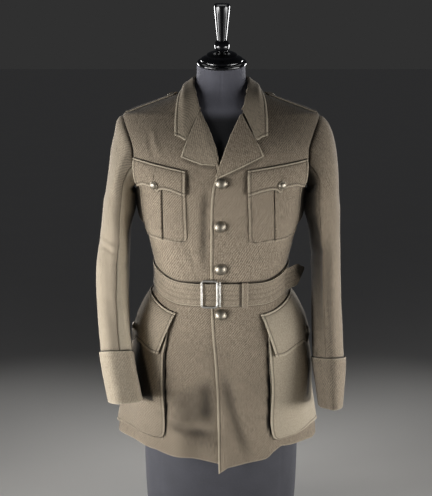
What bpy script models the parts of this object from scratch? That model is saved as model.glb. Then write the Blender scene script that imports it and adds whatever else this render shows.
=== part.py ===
"""Officer's dress tunic resting on a limbless dress form.

Metres, +Z up, the front faces -Y and the wearer's left is +X. The origin is the
middle of the flat underside of the form. Cloth pieces are walls laid out on one
body surface, body(theta, level), whose horizontal sections are superellipses.
"""
import math

import bpy
import numpy as np

# ---------------------------------------------------------------- named sizes
CLOTH = 0.0018          # whipcord with its backing
PATCH = 0.0013          # one thickness of whipcord in pockets and flaps
SEAM = 0.00016          # half the space between two cloth pieces at a seam
LAY = 0.0005            # space under a piece that lies on another
LAP_LIFT = 0.0024       # how far the left front stands over the right front
SIDE_SEAM = 92.0        # degrees from the centre front
BELT_LEVEL = 0.533
BELT_HALF = 0.0235
BELT_THICK = 0.0020
# the belt's free end: distance out, share of the width, height of its middle
BELT_END = ((0.014, 1.0, 0.0), (0.031, 0.96, 0.0), (0.041, 0.56, 0.0025), (0.051, 0.10, 0.0060))
BUTTON_R = 0.0118
SMALL_BUTTON_R = 0.0088
STRAP_HALF = 0.021
POCKET_STANDOFF = 0.017

# The garment's section at each level: level is the height at the side seams, and
# dip is how far the same level hangs lower at the centre front.
BODY_COLS = ("level", "half_width", "front", "back", "squareness", "dip")
BODY = np.array([
    (0.1300, 0.1840, 0.1530, 0.1520, 2.30, 0.020),
    (0.2000, 0.1810, 0.1490, 0.1490, 2.30, 0.020),
    (0.3000, 0.1730, 0.1420, 0.1460, 2.30, 0.021),
    (0.4000, 0.1620, 0.1320, 0.1400, 2.30, 0.024),
    (0.4600, 0.1520, 0.1220, 0.1300, 2.30, 0.028),
    (0.4900, 0.1430, 0.1140, 0.1180, 2.30, 0.030),
    (0.5060, 0.1378, 0.1095, 0.1100, 2.30, 0.031),
    (0.5310, 0.1362, 0.1085, 0.1070, 2.30, 0.031),
    (0.5560, 0.1378, 0.1095, 0.1070, 2.30, 0.031),
    (0.5740, 0.1420, 0.1130, 0.1095, 2.30, 0.026),
    (0.6100, 0.1500, 0.1175, 0.1130, 2.35, 0.014),
    (0.6600, 0.1640, 0.1225, 0.1170, 2.40, 0.004),
    (0.7000, 0.1705, 0.1255, 0.1190, 2.40, 0.001),
    (0.7160, 0.1740, 0.1262, 0.1200, 2.45, 0.000),
    (0.7350, 0.1880, 0.1265, 0.1210, 2.45, 0.000),
    (0.7600, 0.1960, 0.1250, 0.1220, 2.45, 0.000),
    (0.7900, 0.1990, 0.1190, 0.1200, 2.40, 0.000),
    (0.8200, 0.2010, 0.1070, 0.1150, 2.30, 0.000),
    (0.8450, 0.2020, 0.0930, 0.1040, 2.15, 0.000),
    (0.8600, 0.2010, 0.0840, 0.0950, 2.00, 0.000),
    (0.8655, 0.1860, 0.0805, 0.0910, 2.00, 0.000),
    (0.8730, 0.1665, 0.0765, 0.0860, 2.00, 0.000),
    (0.8805, 0.1455, 0.0725, 0.0810, 2.00, 0.000),
    (0.8880, 0.1250, 0.0685, 0.0760, 2.00, 0.000),
    (0.8955, 0.1045, 0.0645, 0.0710, 2.00, 0.000),
    (0.9025, 0.0850, 0.0610, 0.0660, 2.00, 0.000),
    (0.9100, 0.0715, 0.0580, 0.0615, 2.00, 0.000),
    (0.9200, 0.0600, 0.0550, 0.0570, 2.00, 0.000),
    (0.9320, 0.0530, 0.0530, 0.0520, 2.00, 0.000),
    (0.9500, 0.0505, 0.0520, 0.0490, 2.00, 0.000),
    (0.9700, 0.0500, 0.0515, 0.0480, 2.00, 0.000),
])

# The form below the chest, which the skirt hides: height and section.
FORM_COLS = ("z", "half_width", "front", "back", "squareness")
FORM_LOW = np.array([
    (0.000, 0.1500, 0.1150, 0.1240, 2.30),
    (0.012, 0.1540, 0.1180, 0.1270, 2.30),
    (0.090, 0.1610, 0.1225, 0.1325, 2.30),
    (0.180, 0.1630, 0.1240, 0.1340, 2.30),
    (0.280, 0.1570, 0.1190, 0.1300, 2.30),
    (0.380, 0.1465, 0.1100, 0.1200, 2.30),
    (0.460, 0.1350, 0.1020, 0.1080, 2.30),
    (0.525, 0.1310, 0.0990, 0.1010, 2.30),
    (0.590, 0.1390, 0.1065, 0.1050, 2.33),
    (0.650, 0.1540, 0.1155, 0.1120, 2.38),
])

# How far the form's skin lies under the garment's surface above that.
FORM_GAP = np.array([
    (0.716, 0.0050), (0.760, 0.0040), (0.820, 0.0028), (0.845, 0.0023),
    (0.860, 0.0017), (0.873, 0.0013), (0.898, 0.0020), (0.908, 0.0020),
    (0.920, 0.0012), (0.970, 0.0010),
])

# Levels of the panel rows, from the hem to the neck.
ROWS = (0.186, 0.215, 0.250, 0.290, 0.330, 0.375, 0.420, 0.460, 0.490, 0.508,
        0.531, 0.554, 0.574, 0.610, 0.650, 0.690, 0.716, 0.722, 0.735, 0.760,
        0.790, 0.820, 0.845, 0.853, 0.860, 0.873, 0.886, 0.898, 0.908)
ARM_ROWS = (0.716, 0.722, 0.735, 0.760, 0.790, 0.820, 0.845, 0.853, 0.860)
# Angle of the armhole on the front and on the back at those levels.
ARM_FRONT = (92.0, 73.5, 66.0, 60.5, 60.5, 66.5, 77.0, 82.5, 90.0)
ARM_BACK = (92.0, 108.0, 113.0, 116.5, 116.5, 112.5, 103.0, 98.0, 90.0)

# Angle of the last even column of the front and of the back, by level.
FIX_FRONT = np.array([(0.10, 52.0), (0.80, 52.0), (0.845, 56.0), (0.860, 60.0), (0.873, 62.0),
                      (0.886, 65.0), (0.898, 71.0), (0.908, 82.0)])
FIX_BACK = np.array([(0.10, 126.0), (0.80, 126.0), (0.845, 122.0), (0.860, 119.0),
                     (0.908, 112.0)])

# Front edge and roll line: level, distance round from the centre front, positive
# to the piece's own side.
LEFT_EDGE = np.array([
    (0.140, -0.0040), (0.190, -0.0054), (0.304, -0.0083), (0.383, -0.0126),
    (0.474, -0.0193), (0.594, -0.0217), (0.669, -0.0213), (0.717, -0.0178),
    (0.741, -0.0095), (0.757, -0.0041), (0.805, 0.0128), (0.838, 0.0270),
    (0.865, 0.0425),
])
RIGHT_EDGE = np.array([
    (0.140, -0.0300), (0.690, -0.0300), (0.722, -0.0220), (0.741, -0.0080),
    (0.757, 0.0036), (0.779, 0.0070), (0.829, 0.0231), (0.857, 0.0385),
    (0.865, 0.0430),
])
# Neckline of the fronts above the end of the gorge: level and angle.
NECKLINE = np.array([
    (0.865, 13.5), (0.877, 19.5), (0.888, 27.6), (0.8955, 36.0), (0.9025, 51.0),
    (0.908, 68.0),
])
# Drop of the hem under its level, by distance round from the centre front.
LEFT_HEM = np.array([
    (-0.010, 0.027), (-0.004, 0.026), (0.013, 0.013), (0.058, 0.007), (0.093, -0.001),
    (0.108, -0.012), (0.128, -0.020), (0.176, -0.009), (0.240, 0.008), (0.300, 0.004),
    (0.500, 0.000),
])
RIGHT_HEM = np.array([
    (-0.040, 0.010), (0.006, 0.006), (0.062, -0.004), (0.096, -0.004), (0.140, -0.009),
    (0.187, -0.002), (0.240, 0.004), (0.290, 0.007), (0.360, 0.003), (0.500, 0.000),
])

# Soft folds of the skirt: side, distance round and level at the top and at the
# bottom, half-width and height (a trough is negative). All in metres.
FOLD_COLS = ("side", "s_top", "level_top", "s_bottom", "level_bottom", "half", "height")
FOLDS = (
    (1, 0.004, 0.400, 0.056, 0.160, 0.026, -0.0060),
    (1, 0.002, 0.330, 0.012, 0.140, 0.024, 0.0050),
    (1, 0.092, 0.400, 0.094, 0.160, 0.026, 0.0050),
    (1, 0.300, 0.440, 0.330, 0.160, 0.050, 0.0120),
    (1, 0.262, 0.320, 0.270, 0.190, 0.055, 0.0180),
    (1, 0.380, 0.430, 0.400, 0.160, 0.040, -0.0080),
    (-1, 0.050, 0.420, 0.040, 0.160, 0.030, -0.0045),
    (-1, 0.088, 0.400, 0.082, 0.160, 0.028, 0.0040),
    (-1, 0.290, 0.480, 0.292, 0.170, 0.070, 0.0200),
    (-1, 0.285, 0.330, 0.285, 0.190, 0.060, 0.0175),
    (-1, 0.375, 0.430, 0.395, 0.160, 0.040, -0.0080),
)

# Sleeves from under the arm to the end: centre, half-width, half-depth.
SLEEVE_COLS = ("z", "x", "y", "half_width", "half_depth")
LEFT_SLEEVE = np.array([
    (0.700, 0.2140, 0.000, 0.0288, 0.0770),
    (0.660, 0.2147, 0.000, 0.0312, 0.0750),
    (0.606, 0.2172, 0.000, 0.0302, 0.0725),
    (0.553, 0.2197, -0.008, 0.0282, 0.0710),
    (0.496, 0.2200, -0.019, 0.0285, 0.0690),
    (0.424, 0.2211, -0.041, 0.0300, 0.0640),
    (0.366, 0.2222, -0.063, 0.0302, 0.0610),
    (0.310, 0.2245, -0.086, 0.0256, 0.0595),
    (0.250, 0.2256, -0.105, 0.0190, 0.0590),
])
RIGHT_SLEEVE = np.array([
    (0.700, 0.2130, 0.000, 0.0268, 0.0775),
    (0.656, 0.2171, 0.000, 0.0278, 0.0755),
    (0.606, 0.2213, 0.000, 0.0298, 0.0725),
    (0.534, 0.2262, -0.015, 0.0328, 0.0690),
    (0.492, 0.2256, -0.028, 0.0320, 0.0680),
    (0.443, 0.2222, -0.051, 0.0314, 0.0640),
    (0.400, 0.2172, -0.075, 0.0310, 0.0600),
    (0.357, 0.2102, -0.100, 0.0310, 0.0560),
    (0.310, 0.1998, -0.121, 0.0312, 0.0530),
    (0.262, 0.1888, -0.135, 0.0312, 0.0515),
])
RING_TILT = 0.45        # how far the sleeve's rings are turned square to its line, forwards
RING_LEAN = 0.20        # and sideways
# How far the sleeve head stands out past the armhole, as a share of its depth.
SLEEVE_HEAD = {"left": 0.72, "right": 0.58}
# Rows along the sleeve below the cap, as heights, and rows of the cuff.
SLEEVE_ROWS = {"left": (0.655, 0.615, 0.575, 0.538, 0.500, 0.455, 0.405, 0.359, 0.312, 0.2690),
               "right": (0.655, 0.615, 0.575, 0.538, 0.500, 0.455, 0.412, 0.378, 0.336, 0.2890)}
# Columns of the sleeve's rings in its two pieces: the seams run down its front and back.
TOP_SLEEVE = (3, 4, 5, 6, 7, 8, 9, 10, 11, 12)
UNDER_SLEEVE = (12, 13, 14, 15, 0, 1, 2, 3)
# The under sleeve is in two nodes that meet below the elbow: name, columns, rows.
SLEEVE_PIECES = (("sleeve_top_", TOP_SLEEVE, 0, 17), ("sleeve_under_", UNDER_SLEEVE, 0, 13),
                 ("sleeve_forearm_", UNDER_SLEEVE, 12, 17))
CUFF_ROWS = {"left": ((0.2670, 0.0018), (0.312, 0.0023), (0.362, 0.0034)),
             "right": ((0.2870, 0.0018), (0.336, 0.0020), (0.378, 0.0025))}

# Lapels: roll line and outer edge, as distance round and level.
LAPEL_COLS = ("roll_s", "roll_level", "edge_s", "edge_level")
LEFT_LAPEL = np.array([
    (-0.0098, 0.7410, -0.0052, 0.7395),
    (0.0003, 0.7700, 0.0400, 0.7605),
    (0.0090, 0.7940, 0.0845, 0.7815),
    (0.0200, 0.8225, 0.0800, 0.7915),
    (0.0330, 0.8480, 0.0745, 0.8030),
    (0.0405, 0.8622, 0.0683, 0.8114),
])
RIGHT_LAPEL = np.array([
    (0.0060, 0.7662, 0.0120, 0.7645),
    (0.0070, 0.7780, 0.0400, 0.7660),
    (0.0120, 0.7975, 0.0804, 0.7802),
    (0.0215, 0.8235, 0.0762, 0.7915),
    (0.0306, 0.8440, 0.0714, 0.8040),
    (0.0371, 0.8550, 0.0668, 0.8146),
])

# Collar: angle, level of its seam and of its fold; then the plan and the height over
# the cloth of its outer edge and of a line half-way; the front row is its short end.
COLLAR_COLS = ("theta", "seam", "fold", "edge_x", "edge_y", "edge_out", "mid_x", "mid_y", "mid_out")
COLLAR = np.array([
    (13.5, 0.8660, 0.8690, 0.0921, -0.0984, 0.0040, 0.0686, -0.1062, 0.0042),
    (24.0, 0.8850, 0.8900, 0.0925, -0.0850, 0.0044, 0.0730, -0.0860, 0.0060),
    (36.0, 0.8950, 0.9020, 0.0900, -0.0620, 0.0044, 0.0730, -0.0600, 0.0090),
    (58.0, 0.9060, 0.9165, 0.0845, -0.0330, 0.0044, 0.0715, -0.0310, 0.0110),
    (90.0, 0.9110, 0.9320, 0.0780, 0.0020, 0.0044, 0.0680, 0.0015, 0.0125),
    (122.0, 0.9110, 0.9345, 0.0715, 0.0370, 0.0040, 0.0600, 0.0310, 0.0125),
    (152.0, 0.9105, 0.9360, 0.0470, 0.0680, 0.0036, 0.0390, 0.0570, 0.0125),
    (180.0, 0.9100, 0.9365, 0.0000, 0.0820, 0.0036, 0.0000, 0.0680, 0.0125),
])

# Front buttons from the top: distance round, level, and out from the left front.
FRONT_BUTTONS = ((0.0, 0.7299, 0.0031), (-0.0025, 0.6481, 0.0006), (-0.0013, 0.5794, 0.0006),
                 (-0.0013, 0.4905, 0.0011))

# Breast pockets: inner and outer edge at the top, at the bottom, levels of the
# top and the bottom, then the pleat's middle and the button's place.
BREAST = {
    "left": dict(top=(0.0515, 0.182), low=(0.0560, 0.186), levels=(0.745, 0.6195),
                 pleat=(0.1240, 0.1290), half=0.0175, button=(0.1200, 0.7266),
                 flap=(0.0520, 0.182), flap_top=(0.7553, 0.7745)),
    "right": dict(top=(0.0728, 0.186), low=(0.0686, 0.190), levels=(0.745, 0.6205),
                  pleat=(0.1390, 0.1400), half=0.0180, button=(0.1344, 0.7266),
                  flap=(0.0710, 0.186), flap_top=(0.7545, 0.7775)),
}
# Depth of the breast flap along its width, from its inner edge.
BREAST_SCALLOP = np.array([
    (0.00, 0.0500), (0.08, 0.0488), (0.22, 0.0462), (0.36, 0.0458), (0.45, 0.0490),
    (0.50, 0.0548), (0.55, 0.0490), (0.64, 0.0452), (0.78, 0.0450), (0.92, 0.0510),
    (1.00, 0.0550),
])

# Skirt pockets: level and inner edge; outer edge; level of the mouth, of the bottom
# at the inner edge and of the bottom at the outer edge.
SKIRT = {
    "left": dict(inner=((0.2225, 0.1065), (0.265, 0.0995), (0.322, 0.1015),
                        (0.389, 0.0975), (0.470, 0.0960)),
                 outer=0.286, levels=(0.470, 0.2225, 0.2090), flap_in=(0.0800, 0.1070),
                 flap_out=(0.276, 0.288), flap_top=(0.4890, 0.4975), button=(0.1976, 0.4170)),
    "right": dict(inner=((0.2225, 0.1230), (0.238, 0.1175), (0.275, 0.1160),
                         (0.337, 0.1190), (0.393, 0.1185), (0.426, 0.1130),
                         (0.470, 0.1090)),
                  outer=0.298, levels=(0.470, 0.2220, 0.1990), flap_in=(0.0925, 0.1270),
                  flap_out=(0.286, 0.304), flap_top=(0.4900, 0.4960), button=(0.2150, 0.4170)),
}
# Level of the skirt flap's lower edge along its width.
SKIRT_SCALLOP = np.array([
    (0.00, 0.3965), (0.10, 0.3945), (0.28, 0.3990), (0.42, 0.3975), (0.50, 0.3880),
    (0.58, 0.3975), (0.72, 0.3990), (0.90, 0.3945), (1.00, 0.3965),
])

# Turned profiles: radius and height.
CAP_TILT = math.radians(15.0)
CAP_AT = (0.0015, -0.0020, 0.9628)
CAP_PROFILE = (
    (0.0500, 0.0000), (0.0508, 0.0020), (0.0500, 0.0050), (0.0440, 0.0070), (0.0425, 0.0110),
    (0.0330, 0.0160), (0.0300, 0.0205), (0.0200, 0.0245), (0.0120, 0.0262), (0.0115, 0.0290),
    (0.0145, 0.0330), (0.0155, 0.0385), (0.0140, 0.0450), (0.0100, 0.0490), (0.0098, 0.0530),
    (0.0125, 0.0800), (0.0160, 0.1180), (0.0130, 0.1225), (0.0000, 0.1240),
)
DOME = ((1.00, 0.00), (1.00, 0.14), (0.93, 0.24), (0.72, 0.46), (0.40, 0.60), (0.0, 0.65))

COLOURS = {
    "whipcord": (0.275, 0.243, 0.188, 1.0),
    "form_cover": (0.042, 0.042, 0.056, 1.0),
    "black_lacquer": (0.008, 0.008, 0.008, 1.0),
    "bronzed_metal": (0.300, 0.285, 0.240, 1.0),
    "nickel": (0.720, 0.710, 0.680, 1.0),
}


# ------------------------------------------------------------------ scene set-up
def clear_scene():
    for obj in list(bpy.data.objects):
        bpy.data.objects.remove(obj, do_unlink=True)
    for group in list(bpy.data.collections):
        bpy.data.collections.remove(group)


def collection(name):
    group = bpy.data.collections.new(name)
    bpy.context.scene.collection.children.link(group)
    return group


def material(node, look):
    shade = bpy.data.materials.new(node + "_" + look)
    shade.use_nodes = True
    shader = shade.node_tree.nodes["Principled BSDF"]
    shader.inputs["Base Color"].default_value = COLOURS[look]
    metal = look in ("bronzed_metal", "nickel")
    shader.inputs["Metallic"].default_value = 1.0 if metal else 0.0
    rough = {"black_lacquer": 0.15, "nickel": 0.2, "bronzed_metal": 0.35}
    shader.inputs["Roughness"].default_value = rough.get(look, 0.9)
    shade.diffuse_color = COLOURS[look]
    return shade


# ------------------------------------------------------------- mesh construction
def volume(points, faces):
    total = 0.0
    for face in faces:
        for k in range(1, len(face) - 1):
            a, b, c = points[face[0]], points[face[k]], points[face[k + 1]]
            total += float(np.dot(a, np.cross(b, c)))
    return total


def add_mesh(name, points, faces, look):
    points = np.asarray(points, float)
    if volume(points, faces) < 0:
        faces = [tuple(reversed(face)) for face in faces]
    mesh = bpy.data.meshes.new(name)
    mesh.from_pydata([tuple(p) for p in points], [], faces)
    mesh.update()
    obj = bpy.data.objects.new(name, mesh)
    OBJECT.objects.link(obj)
    obj.data.materials.append(material(name, look))
    for poly in mesh.polygons:
        poly.use_smooth = True
    return obj


def wall(name, inner, outer, look="whipcord", ring=False):
    """A closed shell between two grids of points; ring joins the last column to the first."""
    rows, cols = inner.shape[:2]
    points = np.concatenate([inner.reshape(-1, 3), outer.reshape(-1, 3)])
    step = rows * cols
    faces = []
    last = cols if ring else cols - 1
    for i in range(rows - 1):
        for j in range(last):
            k = (j + 1) % cols
            a, b, c, d = i * cols + j, i * cols + k, (i + 1) * cols + k, (i + 1) * cols + j
            faces.append((a, d, c, b))
            faces.append((a + step, b + step, c + step, d + step))
    for j in range(last):
        k = (j + 1) % cols
        faces.append((j, k, k + step, j + step))
        a, b = (rows - 1) * cols + j, (rows - 1) * cols + k
        faces.append((b, a, a + step, b + step))
    if not ring:
        for i in range(rows - 1):
            a, b = i * cols, (i + 1) * cols
            faces.append((b, a, a + step, b + step))
            a, b = i * cols + cols - 1, (i + 1) * cols + cols - 1
            faces.append((a, b, b + step, a + step))
    return add_mesh(name, points, faces, look)


def grid_normals(points, ring=False):
    """Unit normals of a grid from its rows and columns."""
    if ring:
        across = np.roll(points, -1, axis=1) - np.roll(points, 1, axis=1)
    else:
        across = np.gradient(points, axis=1)
    along = np.gradient(points, axis=0)
    normal = np.cross(across, along)
    return normal / np.linalg.norm(normal, axis=-1, keepdims=True)


def sheet(name, middle, thick, look="whipcord", ring=False):
    """A wall of one thickness round a grid of middle points."""
    normal = grid_normals(middle, ring)
    return wall(name, middle - normal * thick / 2, middle + normal * thick / 2, look, ring)


def stacked(name, rings, look):
    """A closed body from rings of points, with a flat fan at each end."""
    rows, cols = rings.shape[:2]
    points = np.concatenate([rings.reshape(-1, 3), rings[0].mean(0)[None], rings[-1].mean(0)[None]])
    low, high = rows * cols, rows * cols + 1
    faces = []
    for i in range(rows - 1):
        for j in range(cols):
            k = (j + 1) % cols
            faces.append((i * cols + j, i * cols + k, (i + 1) * cols + k, (i + 1) * cols + j))
    for j in range(cols):
        k = (j + 1) % cols
        faces.append((k, j, low))
        faces.append(((rows - 1) * cols + j, (rows - 1) * cols + k, high))
    return add_mesh(name, points, faces, look)


def turned(name, at, axis, profile, sides, look):
    """A body turned about an axis through a point; the profile ends on the axis."""
    axis = np.asarray(axis, float) / np.linalg.norm(axis)
    side = np.cross(axis, (0.0, 0.0, 1.0) if abs(axis[2]) < 0.9 else (1.0, 0.0, 0.0))
    side /= np.linalg.norm(side)
    other = np.cross(axis, side)
    turn = np.linspace(0.0, 2.0 * math.pi, sides, endpoint=False)
    round_ = np.cos(turn)[:, None] * side + np.sin(turn)[:, None] * other
    rings = [at + radius * round_ + height * axis for radius, height in profile[:-1]]
    points = np.concatenate(rings + [np.array([at + profile[0][1] * axis]),
                                     np.array([at + profile[-1][1] * axis])])
    count = len(rings)
    faces = []
    for i in range(count - 1):
        for j in range(sides):
            k = (j + 1) % sides
            faces.append((i * sides + j, i * sides + k, (i + 1) * sides + k, (i + 1) * sides + j))
    for j in range(sides):
        k = (j + 1) % sides
        faces.append((k, j, count * sides))
        faces.append(((count - 1) * sides + j, (count - 1) * sides + k, count * sides + 1))
    return add_mesh(name, points, faces, look)


# ------------------------------------------------------------- the body surface
def smooth(x):
    x = np.clip(x, 0.0, 1.0)
    return x * x * (3.0 - 2.0 * x)


def curve(table, x, column=1):
    """A monotone cubic through one column of a table over its first."""
    xs, ys = np.asarray(table, float)[:, 0], np.asarray(table, float)[:, column]
    step = np.diff(xs)
    slope = np.diff(ys) / step
    m = np.zeros_like(ys)
    m[0], m[-1] = slope[0], slope[-1]
    for i in range(1, len(xs) - 1):
        if slope[i - 1] * slope[i] > 0:
            w1, w2 = 2 * step[i] + step[i - 1], step[i] + 2 * step[i - 1]
            m[i] = (w1 + w2) / (w1 / slope[i - 1] + w2 / slope[i])
    x = np.clip(x, xs[0], xs[-1])
    k = np.clip(np.searchsorted(xs, x) - 1, 0, len(xs) - 2)
    t = (x - xs[k]) / step[k]
    return ((1 + 2 * t) * (1 - t) ** 2 * ys[k] + t * (1 - t) ** 2 * step[k] * m[k]
            + t * t * (3 - 2 * t) * ys[k + 1] + t * t * (t - 1) * step[k] * m[k + 1])


def section(theta, half_width, front, back, square):
    """A point of a superellipse: theta is 0 at the front and 90 degrees at the left side."""
    s, c = np.sin(theta), np.cos(theta)
    x = half_width * np.sign(s) * np.abs(s) ** (2.0 / square)
    y = -np.where(c > 0, front, back) * np.sign(c) * np.abs(c) ** (2.0 / square)
    return x, y


def body(theta, level):
    """The smooth surface of the garment, without its folds."""
    theta, level = np.broadcast_arrays(np.asarray(theta, float), np.asarray(level, float))
    half, front, back, square, dip = (curve(BODY, level, c) for c in range(1, 6))
    x, y = section(theta, half, front, back, square)
    away = smooth((np.abs(np.degrees(theta)) - 30.0) / 60.0)
    return np.stack([x, y, level - dip * (1.0 - away)], axis=-1)


def body_normal(theta, level):
    step = 1e-4
    across = body(theta + step, level) - body(theta - step, level)
    along = body(theta, level + step) - body(theta, level - step)
    normal = np.cross(across, along)
    return normal / np.linalg.norm(normal, axis=-1, keepdims=True)


TURN = np.radians(np.linspace(0.0, 180.0, 721))


def lengths(level):
    """Distance round from the centre front at each angle of TURN."""
    points = body(TURN, np.full(TURN.shape, float(level)))
    return np.concatenate([[0.0], np.cumsum(np.linalg.norm(np.diff(points, axis=0), axis=1))])


def angle_at(s, level):
    """Angle of the point that lies s round from the centre front, negative to the right."""
    s, level = np.broadcast_arrays(np.asarray(s, float), np.asarray(level, float))
    out = np.empty(s.shape)
    for place in np.ndindex(s.shape):
        table = lengths(level[place])
        out[place] = math.copysign(np.interp(abs(s[place]), table, TURN), s[place])
    return out


def round_at(degrees, level):
    """The distance round from the centre front of an angle."""
    return float(np.interp(math.radians(degrees), TURN, lengths(level)))


def fold_height(s, level):
    """Height of the skirt's folds: a rounded ridge or trough along each slanted line."""
    total = np.zeros(np.broadcast(s, level).shape)
    for side, s0, z0, s1, z1, half, height in FOLDS:
        down = np.clip((z0 - level) / (z0 - z1), 0.0, 1.3)
        middle = s0 + (s1 - s0) * down
        across = (s * side - middle) / (half * (0.55 + 0.45 * np.minimum(down, 1.0)))
        total = total + height * smooth(down) * np.exp(-across * across * 1.5)
    return total


def on(s, level, out):
    """A point of the garment: s round from the centre front, level, and out from the form."""
    s, level, out = np.broadcast_arrays(*(np.asarray(v, float) for v in (s, level, out)))
    theta = angle_at(s, level)
    normal = body_normal(theta, level)
    height = (out + fold_height(s, level))[..., None]
    return body(theta, level) + normal * height


def lap(s, level):
    """How much the left front is lifted where it passes over the right one."""
    beside = 1.0 - smooth((s - 0.037) / 0.030)
    return LAP_LIFT * beside * (1.0 - smooth((level - 0.775) / 0.060))


def tuck_under(s, level):
    """How much the right front hangs closer to the form where the left one covers it."""
    return 0.0045 * (1.0 - smooth((s + 0.016) / 0.022)) * smooth((0.470 - level) / 0.080)


def place_xy(x, y):
    """Angle and level of the point of the shoulder over a place in plan."""
    x, y = np.broadcast_arrays(np.asarray(x, float), np.asarray(y, float))
    low, high = np.full(x.shape, 0.775), np.full(x.shape, 0.935)
    for _ in range(40):
        mid = (low + high) / 2.0
        half, front, back, square = (curve(BODY, mid, c) for c in range(1, 5))
        depth = np.where(y < 0, front, back)
        inside = (np.abs(x) / half) ** square + (np.abs(y) / depth) ** square < 1.0
        low, high = np.where(inside, mid, low), np.where(inside, high, mid)
    half, front, back, square = (curve(BODY, low, c) for c in range(1, 5))
    depth = np.where(y < 0, front, back)
    theta = np.arctan2((np.abs(x) / half) ** (square / 2), (np.abs(y) / depth) ** (square / 2))
    theta = np.where(y > 0, math.pi - theta, theta)
    return np.copysign(theta, x), low


# ------------------------------------------------------------------- the form
def form_body():
    """Smooth torso with a neck and a flat base; above the waist it follows the garment."""
    turn = np.radians(np.linspace(0.0, 360.0, 44, endpoint=False))
    theta = np.where(turn > math.pi, turn - 2 * math.pi, turn)
    rings = []
    for z, half, front, back, square in FORM_LOW:
        x, y = section(theta, half, front, back, square)
        rings.append(np.stack([x, y, np.full(theta.shape, z)], axis=-1))
    for level in ROWS[16:] + (0.914, 0.922, 0.932, 0.945):
        gap = curve(FORM_GAP, level)
        flat = np.full(theta.shape, level)
        rings.append(body(theta, flat) - body_normal(theta, flat) * gap)
    top = rings[-1].copy()
    top[:, 2] = CAP_AT[2] - 0.0005 + (top[:, 1] - CAP_AT[1]) * math.tan(CAP_TILT)
    rings.append(top)
    stacked("form_torso", np.array(rings), "form_cover")


def neck_cap():
    axis = (0.0, -math.sin(CAP_TILT), math.cos(CAP_TILT))
    turned("neck_cap", np.array(CAP_AT), axis, CAP_PROFILE, 22, "black_lacquer")


# ------------------------------------------------------------------- the panels
def armhole(table, level):
    return float(curve(np.column_stack([ARM_ROWS, table]), level))


def panel_columns(start, fix, stop, even, edge):
    """Even columns to a fixed place, then a few more to the side seam or the armhole."""
    first = start + (fix - start) * np.linspace(0.0, 1.0, even + 1)
    rest = fix + (stop - fix) * np.linspace(0.0, 1.0, edge + 1)[1:]
    return np.concatenate([first, rest])


def front(side, edge, hem, name, lifted):
    count = 12
    s = np.empty((len(ROWS), count))
    level = np.empty_like(s)
    for i, row in enumerate(ROWS):
        if row <= 0.865:
            start = float(curve(edge, row))
        else:
            start = round_at(float(curve(NECKLINE, row)), row)
        if row < ARM_ROWS[0]:
            stop = round_at(SIDE_SEAM, row)
        elif row <= ARM_ROWS[-1]:
            stop = round_at(armhole(ARM_FRONT, row), row)
        else:
            stop = round_at(90.0, row)
        fix = round_at(float(curve(FIX_FRONT, row)), row)
        s[i] = panel_columns(start, fix, stop - SEAM, 8, 3)
        share = np.clip((0.330 - row) / (0.330 - ROWS[0]), 0.0, 1.0)
        level[i] = row - np.interp(s[i], hem[:, 0], hem[:, 1]) * share
    out = lap(s, level) if lifted else -tuck_under(s, level)
    wall(name, on(side * s, level, out), on(side * s, level, out + CLOTH))


def back(side, name):
    count = 11
    s = np.empty((len(ROWS), count))
    level = np.empty_like(s)
    for i, row in enumerate(ROWS):
        if row < ARM_ROWS[0]:
            start = round_at(SIDE_SEAM, row)
        elif row <= ARM_ROWS[-1]:
            start = round_at(armhole(ARM_BACK, row), row)
        else:
            start = round_at(90.0, row)
        fix = round_at(float(curve(FIX_BACK, row)), row)
        s[i] = panel_columns(lengths(row)[-1] - SEAM, fix, start + SEAM, 7, 3)
        level[i] = row
    hem = LEFT_HEM if side > 0 else RIGHT_HEM
    share = np.clip((0.330 - level) / (0.330 - ROWS[0]), 0.0, 1.0)
    level = level - np.interp(s, hem[:, 0], hem[:, 1]) * share
    zero = np.zeros_like(s)
    wall(name, on(side * s, level, zero), on(side * s, level, zero + CLOTH))


# ------------------------------------------------------------------- the sleeves
def arm_points(side):
    """The armhole's points with the surface normal and the way into the hole."""
    front_side = list(zip(ARM_FRONT, ARM_ROWS))
    back_side = list(zip(ARM_BACK, ARM_ROWS))[1:-1]
    places = front_side + back_side[::-1]
    theta = np.radians([side * a for a, _ in places])
    level = np.array([z for _, z in places])
    points, normal = body(theta, level), body_normal(theta, level)
    along = np.roll(points, -1, axis=0) - np.roll(points, 1, axis=0)
    along /= np.linalg.norm(along, axis=1, keepdims=True)
    into = np.cross(normal, along)
    centre = points.mean(0)
    flip = np.sign(np.sum(into * (centre - points), axis=1, keepdims=True))
    into *= flip
    return points, normal, into / np.linalg.norm(into, axis=1, keepdims=True)


def sleeve_rings(side, table, rows, turn, extra=0.0):
    """Rings at the heights asked for, tilted part of the way square to the sleeve's line."""
    rings = []
    for z in rows:
        up, down = np.clip(z + 0.01, table[-1, 0], table[0, 0]), np.clip(z - 0.01, table[-1, 0],
                                                                         table[0, 0])
        order = table[::-1]
        x, y, half, depth = (float(curve(order, z, c)) for c in range(1, 5))
        forward_slope = float(curve(order, up, 2) - curve(order, down, 2)) / (up - down)
        side_slope = float(curve(order, up, 1) - curve(order, down, 1)) / (up - down)
        across = np.array([1.0, 0.0, -RING_LEAN * side_slope])
        across /= np.linalg.norm(across)
        forward = np.array([0.0, -1.0, RING_TILT * forward_slope])
        forward /= np.linalg.norm(forward)
        ring = (np.array([x, y, z]) + np.cos(turn)[:, None] * across * (half + extra)
                + np.sin(turn)[:, None] * forward * (depth + extra))
        ring[:, 0] *= side
        rings.append(ring)
    return np.array(rings)


def part_seam(grid, edge, beside):
    """Moves one row of a grid by SEAM towards the row beside it."""
    step = grid[beside] - grid[edge]
    grid[edge] += SEAM * step / np.linalg.norm(step, axis=1, keepdims=True)


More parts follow.
